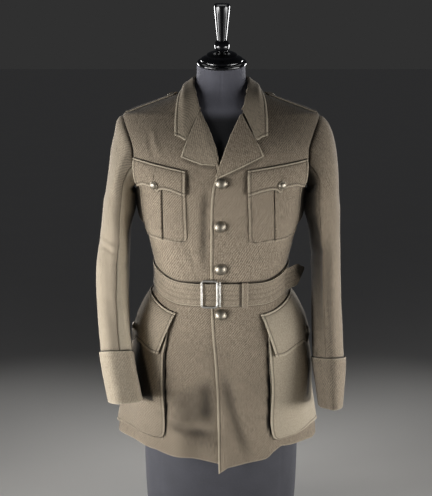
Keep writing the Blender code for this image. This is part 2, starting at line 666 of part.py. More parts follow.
def sleeve(side, table, word):
    """The armhole's edge, a rounded head over it, then rings down to the end."""
    points, normal, into = arm_points(side)
    centre = points.mean(0)
    lift = np.arctan2(points[:, 2] - centre[2], -(points[:, 1] - centre[1]))
    # 0 at the outside of the arm, 90 degrees at the front.
    turn = math.pi / 2 - lift
    slope = np.radians(np.interp(np.sin(lift), (-1.0, -0.4, 0.3, 1.0), (90.0, 66.0, 52.0, 58.0)))
    slope = slope[:, None]
    start = points + into * (0.0005 + CLOTH * np.sin(slope))
    head = np.cos(slope) * into + np.sin(slope) * normal
    away = np.cos(slope) * normal - np.sin(slope) * into
    first = sleeve_rings(side, table, (table[0, 0],), turn)[0]
    span = np.linalg.norm(first - start, axis=1, keepdims=True)
    inner, outer = [start], [start + away * CLOTH]
    for v in (0.10, 0.24, 0.42, 0.62, 0.82, 1.0):
        a, b = 2 * v ** 3 - 3 * v ** 2 + 1, v ** 3 - 2 * v ** 2 + v
        c, d = -2 * v ** 3 + 3 * v ** 2, v ** 3 - v ** 2
        down = np.array([0.0, 0.0, -1.0])
        ring = a * start + b * head * span * SLEEVE_HEAD[word] + c * first + d * down * span * 1.0
        inner.append(ring)
    rest = sleeve_rings(side, table, SLEEVE_ROWS[word], turn)
    inner = np.concatenate([np.array(inner), rest])
    facing = grid_normals(inner, ring=True)
    middle = inner.mean(axis=1, keepdims=True)
    out_way = np.sign(np.sum(facing[-1] * (inner[-1] - middle[-1])))
    facing = facing * out_way
    outer = inner + facing * CLOTH
    outer[0] = start + away * CLOTH
    for name, columns, low, high in SLEEVE_PIECES:
        grids = [grid[low:high, columns].copy() for grid in (inner, outer)]
        for grid in grids:
            part_seam(grid.swapaxes(0, 1), 0, 1)
            part_seam(grid.swapaxes(0, 1), -1, -2)
            if low > 0:
                part_seam(grid, 0, 1)
            if high < len(inner):
                part_seam(grid, -1, -2)
        wall(name + word, *grids)
    return turn


def cuff(side, table, turn, word):
    inner = []
    for z, gap in CUFF_ROWS[word]:
        inner.append(sleeve_rings(side, table, (z,), turn, CLOTH + gap - 0.0012)[0])
    inner = np.array(inner)
    facing = grid_normals(inner, ring=True)
    middle = inner.mean(axis=1, keepdims=True)
    facing = facing * np.sign(np.sum(facing[-1] * (inner[-1] - middle[-1])))
    wall("cuff_" + word, inner, inner + facing * CLOTH, ring=True)


# ------------------------------------------------------------ lapels and collar
def spread(table, count):
    """Rows of a table resampled evenly through all its columns."""
    table = np.asarray(table, float)
    at = np.linspace(0.0, len(table) - 1, count)
    index = np.arange(len(table))
    return np.stack([np.interp(at, index, table[:, c]) for c in range(table.shape[1])], axis=1)


def lapel(side, table, name, lifted):
    rows = spread(table, 11)
    across = np.array([-0.03, 0.0, 0.03, 0.25, 0.5, 0.75, 1.0])
    rise = np.array([0.0006, 0.0021, 0.0031, 0.0034, 0.0032, 0.0030, 0.0028])
    s = rows[:, 0:1] + (rows[:, 2:3] - rows[:, 0:1]) * np.clip(across, 0, 1)
    level = rows[:, 1:2] + (rows[:, 3:4] - rows[:, 1:2]) * np.clip(across, 0, 1)
    s[:, 0] -= 0.0026
    s[:, 1] -= 0.0021
    s[:, 2] += 0.0008
    out = np.broadcast_to(rise, s.shape) + (lap(s, level) if lifted else 0.0)
    middle = on(side * s, level, out + PATCH / 2)
    sheet(name, middle, PATCH)


def collar_rows():
    """The collar's table over half the neck, then mirrored to the other half."""
    at = np.linspace(0.0, len(COLLAR) - 1, 13)
    index = np.arange(len(COLLAR))
    half = np.stack([curve(np.column_stack([index, COLLAR[:, c]]), at)
                     for c in range(COLLAR.shape[1])], axis=1)
    other = half[:-1][::-1].copy()
    other[:, 0] = 360.0 - other[:, 0]
    other[:, 3] *= -1.0
    other[:, 6] *= -1.0
    return np.concatenate([half, other])


def collar():
    rows = collar_rows()
    theta = np.radians(np.where(rows[:, 0] > 180.0, rows[:, 0] - 360.0, rows[:, 0]))
    seam, fold = rows[:, 1], rows[:, 2]
    up = np.array([0.0, 0.0, 1.0])
    stand_in, stand_out = [], []
    for share in (0.0, 0.5, 1.0):
        level = seam + 0.0006 + (fold - seam - 0.0012) * share
        at, normal = body(theta, level), body_normal(theta, level)
        stand_in.append(at + normal * 0.0004)
        stand_out.append(at + normal * (0.0004 + PATCH))
    wall("collar_stand", np.array(stand_in), np.array(stand_out))
    at, normal = body(theta, fold), body_normal(theta, fold)
    first = at + normal * 0.0010 + up * 0.0012
    second = at + normal * 0.0038 + up * 0.0024
    place, level = place_xy(rows[:, 3], rows[:, 4])
    edge = body(place, level) + body_normal(place, level) * rows[:, 5:6]
    place, level = place_xy(rows[:, 6], rows[:, 7])
    mid = body(place, level) + body_normal(place, level) * rows[:, 8:9]
    early, late = (second + mid) / 2, (mid + edge) / 2
    middle = np.stack([first, second, early, mid, late, edge], axis=1)
    sheet("collar_fall", middle, PATCH)


# --------------------------------------------------------------- what lies on it
def breast_pocket(side, name, spec, lifted):
    top, low = spec["top"], spec["low"]
    level_top, level_low = spec["levels"]
    rows = (level_top - np.array([level_top, 0.735, 0.722, 0.716, 0.690, 0.650, level_low]))
    rows = rows / (level_top - level_low)
    middle = spec["pleat"][0] + (spec["pleat"][1] - spec["pleat"][0]) * rows
    inner = top[0] + (low[0] - top[0]) * rows
    outer = top[1] + (low[1] - top[1]) * rows
    half = spec["half"]
    s, rise = [], []
    for i in range(len(rows)):
        s.append([inner[i], (inner[i] + middle[i] - half) / 2, middle[i] - half - 0.0012,
                  middle[i] - half + 0.0004, middle[i] - half / 3, middle[i] + half / 3,
                  middle[i] + half - 0.0004, middle[i] + half + 0.0012,
                  (outer[i] + middle[i] + half) / 2, outer[i]])
        rise.append([0.0, 0.0005, 0.0004, 0.0024, 0.0026, 0.0026, 0.0024, 0.0004, 0.0005, 0.0])
    s, rise = np.array(s), np.array(rise)
    level = np.broadcast_to((level_top + (level_low - level_top) * rows)[:, None], s.shape)
    out = CLOTH + LAY + rise + (lap(s, level) if lifted else 0.0)
    wall(name, on(side * s, level, out), on(side * s, level, out + PATCH))


def breast_flap(side, name, spec, lifted):
    share = np.array([0.0, 0.08, 0.22, 0.36, 0.45, 0.50, 0.55, 0.64, 0.78, 0.92, 1.0])
    down = np.array([0.0, 0.22, 0.6, 1.0])
    rise = np.array([0.0006, 0.0047, 0.0057, 0.0060])
    s = spec["flap"][0] + (spec["flap"][1] - spec["flap"][0]) * share
    top = spec["flap_top"][0] + (spec["flap_top"][1] - spec["flap_top"][0]) * share
    depth = np.interp(share, BREAST_SCALLOP[:, 0], BREAST_SCALLOP[:, 1])
    s = np.broadcast_to(s, (4, 11))
    level = top[None, :] - depth[None, :] * down[:, None]
    out = CLOTH + np.broadcast_to(rise[:, None], s.shape) + (lap(s, level) if lifted else 0.0)
    wall(name, on(side * s, level, out), on(side * s, level, out + PATCH))


def stand_off(share, drop):
    """How far the bellows stand off the skirt: most half-way down, towards the outer edge."""
    deep = 0.0075 + (POCKET_STANDOFF - 0.0075) * smooth(share * 1.25)
    deep = deep * (1.0 - 0.84 * smooth((drop - 0.50) / 0.50))
    return 0.0030 + (deep - 0.0030) * smooth(drop * 2.4)


def skirt_pocket(side, which):
    """The pocket's face, and the strip that joins three of its edges to the skirt."""
    spec = SKIRT[which]
    high, low_in, low_out = spec["levels"]
    drop = np.linspace(0.0, 1.0, 8)
    inner = curve(np.array(spec["inner"]), high + (low_in - high) * drop)
    outer = spec["outer"]
    share = np.linspace(0.0, 1.0, 11)
    s = inner[:, None] + (outer - inner[:, None]) * share
    low = low_in + (low_out - low_in) * share
    level = high + (low[None, :] - high) * drop[:, None]
    belly = 0.0030 * np.sin(math.pi * share)[None, :] * smooth(drop * 1.6)[:, None]
    out = CLOTH + LAY + stand_off(share[None, :], drop[:, None]) + belly
    wall("skirt_pocket_" + which, on(side * s, level, out), on(side * s, level, out + PATCH))
    # The strip's path: down the inner edge, along the bottom and up the outer edge.
    path = [(inner[i] + 0.0008, level[i, 0], 0.0, drop[i]) for i in range(7)]
    path += [(s[-1, j] + 0.0008 * (1.0 - 2.0 * share[j]), level[-1, j] + 0.0008, share[j], 1.0)
             for j in range(11)]
    path += [(outer - 0.0008, level[i, -1], 1.0, drop[i]) for i in range(6, -1, -1)]
    path = np.array(path)
    belly = 0.0030 * np.sin(math.pi * path[:, 2]) * smooth(path[:, 3] * 1.6)
    reach = CLOTH + LAY + stand_off(path[:, 2], path[:, 3]) + belly - 0.0005
    base = np.full(len(path), CLOTH + LAY + 0.0005)
    tuck = np.zeros((len(path), 2))
    tuck[:8, 0] = 1.0
    tuck[-8:, 0] = -1.0
    tuck[7:-7, 1] = 1.0
    deep = path[:, :2] + tuck * PATCH
    outside = np.stack([on(side * path[:, 0], path[:, 1], base),
                        on(side * path[:, 0], path[:, 1], reach)])
    inside = np.stack([on(side * deep[:, 0], deep[:, 1], base),
                       on(side * deep[:, 0], deep[:, 1], reach)])
    wall("skirt_gusset_" + which, inside, outside)


def flap_rise(share, down):
    """Height of the skirt flap's underside over the skirt."""
    inner = np.interp(down, (0.0, 0.12, 0.30, 0.60, 1.0), (0.0006, 0.0050, 0.0075, 0.0112, 0.0135))
    outer = np.interp(down, (0.0, 0.12, 0.30, 0.60, 1.0), (0.0014, 0.0068, 0.0110, 0.0180, 0.0232))
    return inner + (outer - inner) * smooth(share * 1.25)


def skirt_flap(side, which):
    spec = SKIRT[which]
    share = np.array([0.0, 0.10, 0.22, 0.34, 0.44, 0.50, 0.56, 0.66, 0.78, 0.90, 1.0])
    down = np.array([0.0, 0.12, 0.30, 0.60, 1.0])
    top = spec["flap_top"][0] + (spec["flap_top"][1] - spec["flap_top"][0]) * share
    end = np.interp(share, SKIRT_SCALLOP[:, 0], SKIRT_SCALLOP[:, 1])
    level = top[None, :] + (end - top)[None, :] * down[:, None]
    first = spec["flap_in"][0] + (spec["flap_in"][1] - spec["flap_in"][0]) * down ** 0.9
    last = spec["flap_out"][0] + (spec["flap_out"][1] - spec["flap_out"][0]) * down ** 0.9
    s = first[:, None] + (last - first)[:, None] * share[None, :]
    out = CLOTH + flap_rise(share[None, :], down[:, None])
    wall("skirt_flap_" + which, on(side * s, level, out), on(side * s, level, out + PATCH))


def shoulder_strap(side, name):
    x = np.linspace(0.1945, 0.0890, 8)
    half = np.interp(x, (0.089, 0.096, 0.105, 0.1945), (0.010, 0.0165, 0.0180, STRAP_HALF))
    y = half[:, None] * np.linspace(-1.0, 1.0, 5)[None, :]
    theta, level = place_xy(side * np.broadcast_to(x[:, None], y.shape), y)
    at, normal = body(theta, level), body_normal(theta, level)
    crown = 0.0006 * (1.0 - (y / half[:, None]) ** 2)[..., None]
    low = at + normal * (CLOTH + 0.0007 + crown)
    wall(name, low, low + normal * 0.0022)


def button(name, point, axis, radius):
    profile = [(radius * r, radius * h) for r, h in DOME]
    turned(name, point, axis, profile, 16 if radius > 0.01 else 10, "bronzed_metal")


def button_on(name, s, level, out, radius):
    theta = angle_at(s, level)
    normal = body_normal(theta, level)
    at = on(s, level, out)
    button(name, at.reshape(3), normal.reshape(3), radius)


# ------------------------------------------------------------------- the belt
def belt():
    """One strap round the waist: its free end passes over its start and stands out."""
    turn = np.concatenate([np.linspace(-7.0, 352.0, 41), np.linspace(359.0, 426.0, 10)])
    heights = np.array([-BELT_HALF, 0.0, BELT_HALF])
    lift = 0.0028 * smooth((turn - 331.0) / 19.0)
    wrapped = (turn + 180.0) % 360.0 - 180.0
    theta = np.radians(wrapped)
    grid = []
    for i in range(len(turn)):
        level = BELT_LEVEL + heights
        angle = np.full(3, theta[i])
        near = CLOTH + 0.0014 + lift[i]
        s = round_at(abs(wrapped[i]), BELT_LEVEL) * math.copysign(1.0, wrapped[i])
        near += float(lap(s, BELT_LEVEL)) if abs(s) < 0.08 else 0.0
        grid.append(body(angle, level) + body_normal(angle, level) * near)
    grid = np.array(grid)
    # The free end leaves along the last direction and ends in a point.
    step = grid[-1, 1] - grid[-2, 1]
    step = step / np.linalg.norm(step)
    step = step + np.array([0.42, -0.24, -0.04])
    step = step / np.linalg.norm(step)
    for far, share, rise in BELT_END:
        middle = grid[50, 1] + step * far + np.array([0.0, 0.0, rise])
        grid = np.concatenate([grid, (middle + (grid[50] - grid[50, 1]) * share)[None]])
    normal = grid_normals(grid)
    out_way = np.sign(np.sum(normal[10] * grid[10] * np.array([1.0, 1.0, 0.0])))
    wall("belt", grid, grid + normal * out_way * BELT_THICK)


def frame_at(s, out):
    """Point, tangent, up and outward directions on the belt."""
    theta = angle_at(s, BELT_LEVEL)
    at = body(theta, BELT_LEVEL).reshape(3)
    normal = body_normal(theta, BELT_LEVEL).reshape(3)
    normal[2] = 0.0
    normal /= np.linalg.norm(normal)
    along = np.cross((0.0, 0.0, 1.0), normal)
    return at + normal * out, along, np.array([0.0, 0.0, 1.0]), normal


def buckle():
    """A rectangle of round wire with rounded corners, and the bar beside it."""
    at, along, up, normal = frame_at(-0.0226, 0.0134)
    at = at + up * 0.0025
    half_w, half_h, corner, wire = 0.0157, 0.0268, 0.0050, 0.00225
    path = []
    for cx, cz, begin in ((1, 1, 0), (-1, 1, 90), (-1, -1, 180), (1, -1, 270)):
        for k in range(4):
            a = math.radians(begin + 30.0 * k)
            path.append((cx * (half_w - corner) + corner * math.cos(a),
                         cz * (half_h - corner) + corner * math.sin(a), math.cos(a), math.sin(a)))
    ring = []
    for u, v, du, dv in path:
        centre = at + along * u + up * v
        outward = along * du + up * dv
        angles = np.linspace(0.0, 2 * math.pi, 8, endpoint=False)
        ring.append(centre + wire * (np.cos(angles)[:, None] * outward
                                     + np.sin(angles)[:, None] * normal))
    ring = np.array(ring)
    rows, cols = ring.shape[:2]
    faces = []
    for i in range(rows):
        for j in range(cols):
            n, k = (i + 1) % rows, (j + 1) % cols
            faces.append((i * cols + j, i * cols + k, n * cols + k, n * cols + j))
    add_mesh("buckle_frame", ring.reshape(-1, 3), faces, "nickel")
    at, along, up, normal = frame_at(-0.0022, 0.0132)
    profile = ((0.0014, 0.0), (0.0017, 0.0008), (0.0017, 0.0516), (0.0014, 0.0524), (0.0, 0.0524))
    turned("buckle_bar", at - up * 0.0240, up, profile, 10, "nickel")


def belt_loop():
    """A cloth loop round both thicknesses of the belt."""
    low, high = 0.0402, 0.0520
    edge = BELT_HALF + 0.0012
    loop = []
    spec = ((-edge, 0.0), (-edge, 0.0068), (0.0, 0.0074), (edge, 0.0068), (edge, 0.0))
    for s in (low, (low + high) / 2, high):
        theta = angle_at(s, BELT_LEVEL)
        base = CLOTH + 0.0009 + float(lap(s, BELT_LEVEL))
        row = []
        for h, out in spec:
            angle = np.full(1, float(theta))
            at = body(angle, BELT_LEVEL + h) + body_normal(angle, BELT_LEVEL + h) * (base + out)
            row.append(at[0])
        loop.append(row)
    loop = np.array(loop)
    sheet_like = grid_normals(loop)
    flip = np.sign(np.sum(sheet_like[1, 2] * np.array([0.0, -1.0, 0.0])))
    wall("belt_loop", loop, loop + sheet_like * flip * 0.0015)


# --------------------------------------------------------------------- the part
def build():
    form_body()
    neck_cap()
    front(1, LEFT_EDGE, LEFT_HEM, "front_left", True)
    front(-1, RIGHT_EDGE, RIGHT_HEM, "front_right", False)
    back(1, "back_left")
    back(-1, "back_right")
    for side, word, table in ((1, "left", LEFT_SLEEVE), (-1, "right", RIGHT_SLEEVE)):
        turn = sleeve(side, table, word)
        cuff(side, table, turn, word)
        shoulder_strap(side, "shoulder_strap_" + word)
        theta, level = place_xy(side * 0.101, 0.0)
        normal = body_normal(theta, level)
        at = body(theta, level) + normal * (CLOTH + 0.0037)
        button("strap_button_" + word, at.reshape(3), normal.reshape(3), SMALL_BUTTON_R)
        spec = BREAST[word]
        lifted = side > 0
        breast_pocket(side, "breast_pocket_" + word, spec, lifted)
        breast_flap(side, "breast_flap_" + word, spec, lifted)
        rise = CLOTH + 0.0060 + PATCH + 0.0009
        button_on("breast_button_" + word, side * spec["button"][0], spec["button"][1],
                  rise, SMALL_BUTTON_R)
        skirt_pocket(side, word)
        skirt_flap(side, word)
        place = SKIRT[word]["button"]
        rise = CLOTH + float(flap_rise(0.5, 0.72)) + PATCH + (0.0024 if side > 0 else 0.0026)
        button_on("skirt_button_" + word, side * place[0], place[1], rise, SMALL_BUTTON_R)
    lapel(1, LEFT_LAPEL, "lapel_left", True)
    lapel(-1, RIGHT_LAPEL, "lapel_right", False)
    collar()
    for k, (s, level, out) in enumerate(FRONT_BUTTONS):
        button_on(f"front_button_{k + 1}", s, level, CLOTH + LAP_LIFT + out, BUTTON_R)
    belt()
    buckle()
    belt_loop()


clear_scene()
OBJECT = collection("tunic_on_form")
CUTTERS = collection("cutters")
build()
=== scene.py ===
"""Dresses the packed solids of the belted tunic on its form, as an add-on.

Frame: metres, +Z up, the front faces -Y, +X is the wearer's left. Each cloth piece is
a closed grid laid out on one body surface from (s, level): s is the distance round
from the centre front, level the height at the side seams.
"""

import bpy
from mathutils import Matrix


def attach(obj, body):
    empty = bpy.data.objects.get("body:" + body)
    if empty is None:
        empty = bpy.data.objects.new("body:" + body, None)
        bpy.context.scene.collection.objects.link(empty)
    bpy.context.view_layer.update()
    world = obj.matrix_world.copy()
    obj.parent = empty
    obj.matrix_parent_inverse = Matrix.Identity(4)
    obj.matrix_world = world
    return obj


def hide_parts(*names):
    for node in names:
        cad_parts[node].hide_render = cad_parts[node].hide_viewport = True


bl_info = {
    "name": "Dress tunic on a form", "version": (1, 0, 0), "blender": (4, 5, 0),
    "location": "View3D > Sidebar > Tunic", "category": "Object",
    "description": "Fine cloth, trims, form and studio for the packed tunic",
}
import math

import bpy
import numpy as np
from bpy.props import FloatProperty, FloatVectorProperty, PointerProperty

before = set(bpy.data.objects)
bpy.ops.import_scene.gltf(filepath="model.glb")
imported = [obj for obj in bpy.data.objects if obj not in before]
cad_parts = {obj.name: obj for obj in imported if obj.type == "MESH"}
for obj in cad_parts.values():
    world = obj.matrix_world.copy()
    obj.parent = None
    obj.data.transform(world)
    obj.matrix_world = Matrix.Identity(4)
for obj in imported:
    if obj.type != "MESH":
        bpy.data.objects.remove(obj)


def table_of(columns, text):
    """A table of numbers from its text: row after row, parted by two spaces."""
    return np.array(text.split(), float).reshape(-1, columns)


# --- tables (CAD)
# walls of the panels and patches, half the space at a seam, the space under a patch, and how
# far the left front stands out where it laps over the right
CLOTH, PATCH, SEAM, LAY, LAP_LIFT = 0.0018, 0.0013, 0.00016, 0.0005, 0.0024
STRAP_WALL, LOOP_WALL = 0.0020, 0.0015
STRAP_OUT, LOOP_OUT, BELT_OUT = 0.0007, 0.0009, 0.0014      # spaces under straps, loop and belt
BELT_LAP = 0.0028        # how far the belt's free end passes over its start
HEM_FROM, NECK_LEVEL = 0.330, 0.865     # where the hem's drop begins, and the front edges end
HEM_STEP, PATCH_STEP = 0.0045, 0.0040   # widths of plain columns and rows
# angle of the side seam, and the belt's level, half its width and its wall
SIDE_SEAM, BELT_LEVEL, BELT_HALF, BELT_THICK = 92.0, 0.533, 0.0235, 0.0020
# radii of the buttons, half a strap's width, and how far the bellows pocket stands off
BUTTON_R, SMALL_BUTTON_R, STRAP_HALF, POCKET_STANDOFF = 0.0118, 0.0088, 0.021, 0.017
# level, half-width, front depth, back depth, squareness, dip at the centre front
BODY = table_of(6, """
    .13 .184 .153 .152 2.3 .02  .2 .181 .149 .149 2.3 .02  .3 .173 .142 .146 2.3 .021
    .4 .162 .132 .14 2.3 .024  .46 .152 .122 .13 2.3 .028  .49 .143 .114 .118 2.3 .03
    .506 .1378 .1095 .11 2.3 .031  .531 .1362 .1085 .107 2.3 .031  .556 .1378 .1095 .107 2.3 .031
    .574 .142 .113 .1095 2.3 .026  .61 .15 .1175 .113 2.35 .014  .66 .164 .1225 .117 2.4 .004
    .7 .1705 .1255 .119 2.4 .001  .716 .174 .1262 .12 2.45 0  .735 .188 .1265 .121 2.45 0
    .76 .196 .125 .122 2.45 0  .79 .199 .119 .12 2.4 0  .82 .201 .107 .115 2.3 0
    .845 .202 .093 .104 2.15 0  .86 .201 .084 .095 2 0  .8655 .186 .0805 .091 2 0
    .873 .1665 .0765 .086 2 0  .8805 .1455 .0725 .081 2 0  .888 .125 .0685 .076 2 0
    .8955 .1045 .0645 .071 2 0  .9025 .085 .061 .066 2 0  .91 .0715 .058 .0615 2 0
    .92 .06 .055 .057 2 0  .932 .053 .053 .052 2 0  .95 .0505 .052 .049 2 0
    .97 .05 .0515 .048 2 0
""")
# the form under the skirt: z, half-width, front, back, squareness
FORM_LOW = table_of(5, """
    0 .15 .115 .124 2.3  .012 .154 .118 .127 2.3  .09 .161 .1225 .1325 2.3  .18 .163 .124 .134 2.3
    .28 .157 .119 .13 2.3  .38 .1465 .11 .12 2.3  .46 .135 .102 .108 2.3  .525 .131 .099 .101 2.3
    .59 .139 .1065 .105 2.33  .65 .154 .1155 .112 2.38
""")
# space between the coat's surface and the form: level, gap
FORM_GAP = table_of(2, """
    .716 .005  .76 .004  .82 .0028  .845 .0023  .86 .0017  .873 .0013  .898 .002  .908 .002
    .92 .0012  .97 .001
""")
# levels of the solids' rows, those beside the armhole, and its two edges' angles there
ROWS = (0.186, 0.215, 0.250, 0.290, 0.330, 0.375, 0.420, 0.460, 0.490, 0.508, 0.531, 0.554,
        0.574, 0.610, 0.650, 0.690, 0.716, 0.722, 0.735, 0.760, 0.790, 0.820, 0.845, 0.853,
        0.860, 0.873, 0.886, 0.898, 0.908)
ARM_ROWS = (0.716, 0.722, 0.735, 0.760, 0.790, 0.820, 0.845, 0.853, 0.860)
ARM_FRONT = (92.0, 73.5, 66.0, 60.5, 60.5, 66.5, 77.0, 82.5, 90.0)
ARM_BACK = (92.0, 108.0, 113.0, 116.5, 116.5, 112.5, 103.0, 98.0, 90.0)
# front edges: level, distance round; then the neckline: level, angle
LEFT_EDGE = table_of(2, """
    .14 -.004  .19 -.0054  .304 -.0083  .383 -.0126  .474 -.0193  .594 -.0217  .669 -.0213
    .717 -.0178  .741 -.0095  .757 -.0041  .805 .0128  .838 .027  .865 .0425
""")
RIGHT_EDGE = table_of(2, """
    .14 -.03  .69 -.03  .722 -.022  .741 -.008  .757 .0036  .779 .007  .829 .0231  .857 .0385
    .865 .043
""")
NECKLINE = table_of(2, """
    .865 13.5  .877 19.5  .888 27.6  .8955 36  .9025 51  .908 68
""")
# drop of the hem by distance round from the centre front
LEFT_HEM = table_of(2, """
    -.01 .027  -.004 .026  .013 .013  .058 .007  .093 -.001  .108 -.012  .128 -.02  .176 -.009
    .24 .008  .3 .004  .5 0
""")
RIGHT_HEM = table_of(2, """
    -.04 .01  .006 .006  .062 -.004  .096 -.004  .14 -.009  .187 -.002  .24 .004  .29 .007
    .36 .003  .5 0
""")
# skirt folds: side, s and level at the top and at the bottom, half-width, height
FOLDS = table_of(7, """
    1 .004 .4 .056 .16 .026 -.006  1 .002 .33 .012 .14 .024 .005  1 .092 .4 .094 .16 .026 .005
    1 .3 .44 .33 .16 .05 .012  1 .262 .32 .27 .19 .055 .018  1 .38 .43 .4 .16 .04 -.008
    -1 .05 .42 .04 .16 .03 -.0045  -1 .088 .4 .082 .16 .028 .004  -1 .29 .48 .292 .17 .07 .02
    -1 .285 .33 .285 .19 .06 .0175  -1 .375 .43 .395 .16 .04 -.008
""")
# sleeves: z, x, y, half-width, half-depth
SLEEVES = {"left": table_of(5, """
    .7 .214 0 .0288 .077  .66 .2147 0 .0312 .075  .606 .2172 0 .0302 .0725
    .553 .2197 -.008 .0282 .071  .496 .22 -.019 .0285 .069  .424 .2211 -.041 .03 .064
    .366 .2222 -.063 .0302 .061  .31 .2245 -.086 .0256 .0595  .25 .2256 -.105 .019 .059
"""), "right": table_of(5, """
    .7 .213 0 .0268 .0775  .656 .2171 0 .0278 .0755  .606 .2213 0 .0298 .0725
    .534 .2262 -.015 .0328 .069  .492 .2256 -.028 .032 .068  .443 .2222 -.051 .0314 .064
    .4 .2172 -.075 .031 .06  .357 .2102 -.1 .031 .056  .31 .1998 -.121 .0312 .053
    .262 .1888 -.135 .0312 .0515
""")}
# shares of the sleeve's slope that its rings follow, forwards and sideways; how full its head
# is; its lower end; then the cuff: height and space off the sleeve
RING_TILT, RING_LEAN = 0.45, 0.20
SLEEVE_HEAD = {"left": 0.72, "right": 0.58}
SLEEVE_END = {"left": 0.2690, "right": 0.2890}
CUFF_ROWS = {"left": ((0.2670, 0.0018), (0.312, 0.0023), (0.362, 0.0034)),
             "right": ((0.2870, 0.0018), (0.336, 0.0020), (0.378, 0.0025))}
# lapels: roll line s, level; outer edge s, level
LAPELS = {"left": table_of(4, """
    -.0098 .741 -.0052 .7395  .0003 .77 .04 .7605  .009 .794 .0845 .7815  .02 .8225 .08 .7915
    .033 .848 .0745 .803  .0405 .8622 .0683 .8114
"""), "right": table_of(4, """
    .006 .7662 .012 .7645  .007 .778 .04 .766  .012 .7975 .0804 .7802  .0215 .8235 .0762 .7915
    .0306 .844 .0714 .804  .0371 .855 .0668 .8146
""")}
# collar: angle, seam and fold level, edge x, y, out, half-way line x, y, out
COLLAR = table_of(9, """
    13.5 .866 .869 .0921 -.0984 .004 .0686 -.1062 .0042
    24 .885 .89 .0925 -.085 .0044 .073 -.086 .006  36 .895 .902 .09 -.062 .0044 .073 -.06 .009
    58 .906 .9165 .0845 -.033 .0044 .0715 -.031 .011
    90 .911 .932 .078 .002 .0044 .068 .0015 .0125  122 .911 .9345 .0715 .037 .004 .06 .031 .0125
    152 .9105 .936 .047 .068 .0036 .039 .057 .0125  180 .91 .9365 0 .082 .0036 0 .068 .0125
""")
# s, level and space under each front button
FRONT_BUTTONS = table_of(3, """
    0 .7299 .0031  -.0025 .6481 .0006  -.0013 .5794 .0006  -.0013 .4905 .0011
""")
# breast pockets: s of both sides at the top and the foot, both levels, the pleat's s there and
# half its width, the button's s and level, the flap's two sides and its top's two levels
BREAST = {
    "left": dict(top=(0.0515, 0.182), low=(0.0560, 0.186), levels=(0.745, 0.6195),
                 pleat=(0.1240, 0.1290), half=0.0175, button=(0.1200, 0.7266),
                 flap=(0.0520, 0.182), flap_top=(0.7553, 0.7745)),
    "right": dict(top=(0.0728, 0.186), low=(0.0686, 0.190), levels=(0.745, 0.6205),
                  pleat=(0.1390, 0.1400), half=0.0180, button=(0.1344, 0.7266),
                  flap=(0.0710, 0.186), flap_top=(0.7545, 0.7775)),
}
# share of the way across the flap, and its depth
BREAST_SCALLOP = table_of(2, """
    0 .05  .08 .0488  .22 .0462  .36 .0458  .45 .049  .5 .0548  .55 .049  .64 .0452  .78 .045
    .92 .051  1 .055
""")
# skirt pockets: level and s of the inner edge, s of the outer, levels of the top and of the foot
# inside and outside; both sides of the flap at its top and foot, its top's levels, the button
SKIRT = {
    "left": dict(inner=((0.2225, 0.1065), (0.265, 0.0995), (0.322, 0.1015),
                        (0.389, 0.0975), (0.470, 0.0960)),
                 outer=0.286, levels=(0.470, 0.2225, 0.2090), flap_in=(0.0800, 0.1070),
                 flap_out=(0.276, 0.288), flap_top=(0.4890, 0.4975), button=(0.1976, 0.4170)),
    "right": dict(inner=((0.2225, 0.1230), (0.238, 0.1175), (0.275, 0.1160),
                         (0.337, 0.1190), (0.393, 0.1185), (0.426, 0.1130),
                         (0.470, 0.1090)),
                  outer=0.298, levels=(0.470, 0.2220, 0.1990), flap_in=(0.0925, 0.1270),
                  flap_out=(0.286, 0.304), flap_top=(0.4900, 0.4960), button=(0.2150, 0.4170)),
}
# share of the way across the flap, and the level of its edge
SKIRT_SCALLOP = table_of(2, """
    0 .3965  .1 .3945  .28 .399  .42 .3975  .5 .388  .58 .3975  .72 .399  .9 .3945  1 .3965
""")
# the belt's free end: distance out, share of the width, height of its middle
BELT_END = ((0.014, 1.0, 0.0), (0.031, 0.96, 0.0), (0.041, 0.56, 0.0025), (0.051, 0.10, 0.0060))
# the neck cap: its tilt and place, then radius and height
CAP_TILT, CAP_AT = math.radians(15.0), (0.0015, -0.0020, 0.9628)
CAP_PROFILE = table_of(2, """
    .05 0  .0508 .002  .05 .005  .044 .007  .0425 .011  .033 .016  .03 .0205  .02 .0245
    .012 .0262  .0115 .029  .0145 .033  .0155 .0385  .014 .045  .01 .049  .0098 .053  .0125 .08
    .016 .118  .013 .1225  0 .124
""")

# --- tables (scene only)
# creases of the panels: s and level of both ends, half-width, height, bow sideways; the last
# two are the fullness under each arm
CREASES = table_of(7, """
    -.118 .2746 -.0085 .2586 .007 .003 .006  -.11 .26 -.02 .246 .008 -.003 .006
    -.029 .722 -.034 .585 .0075 -.0034 .002  -.045 .56 -.085 .64 .007 -.0016 .004
    -.15 .83 -.135 .775 .006 -.0018 .003  -.138 .835 -.122 .782 .006 .0014 .003
    .14 .84 .165 .78 .008 -.002 -.003  .03 .59 .075 .66 .008 -.0014 .004
    .05 .575 .12 .615 .006 -.0014 .003  -.06 .575 -.14 .605 .006 -.0014 .003
    .002 .372 .052 .195 .01 -.004 .004  -.028 .345 -.026 .262 .015 -.0034 0
    -.09 .7 -.1 .585 .014 .0012 .003  .045 .47 .07 .3 .016 .0018 .004
    .2 .64 .262 .59 .008 -.002 .004  -.2 .645 -.262 .59 .008 -.002 .004
    .33 .74 .42 .6 .012 -.003 .01  -.33 .74 -.42 .6 .012 -.003 .01
    .345 .59 .415 .64 .009 .002 .004  -.345 .59 -.415 .64 .009 .002 .004
    .243 .708 .233 .628 .026 .008 0  -.243 .708 -.233 .628 .026 .008 0
""")
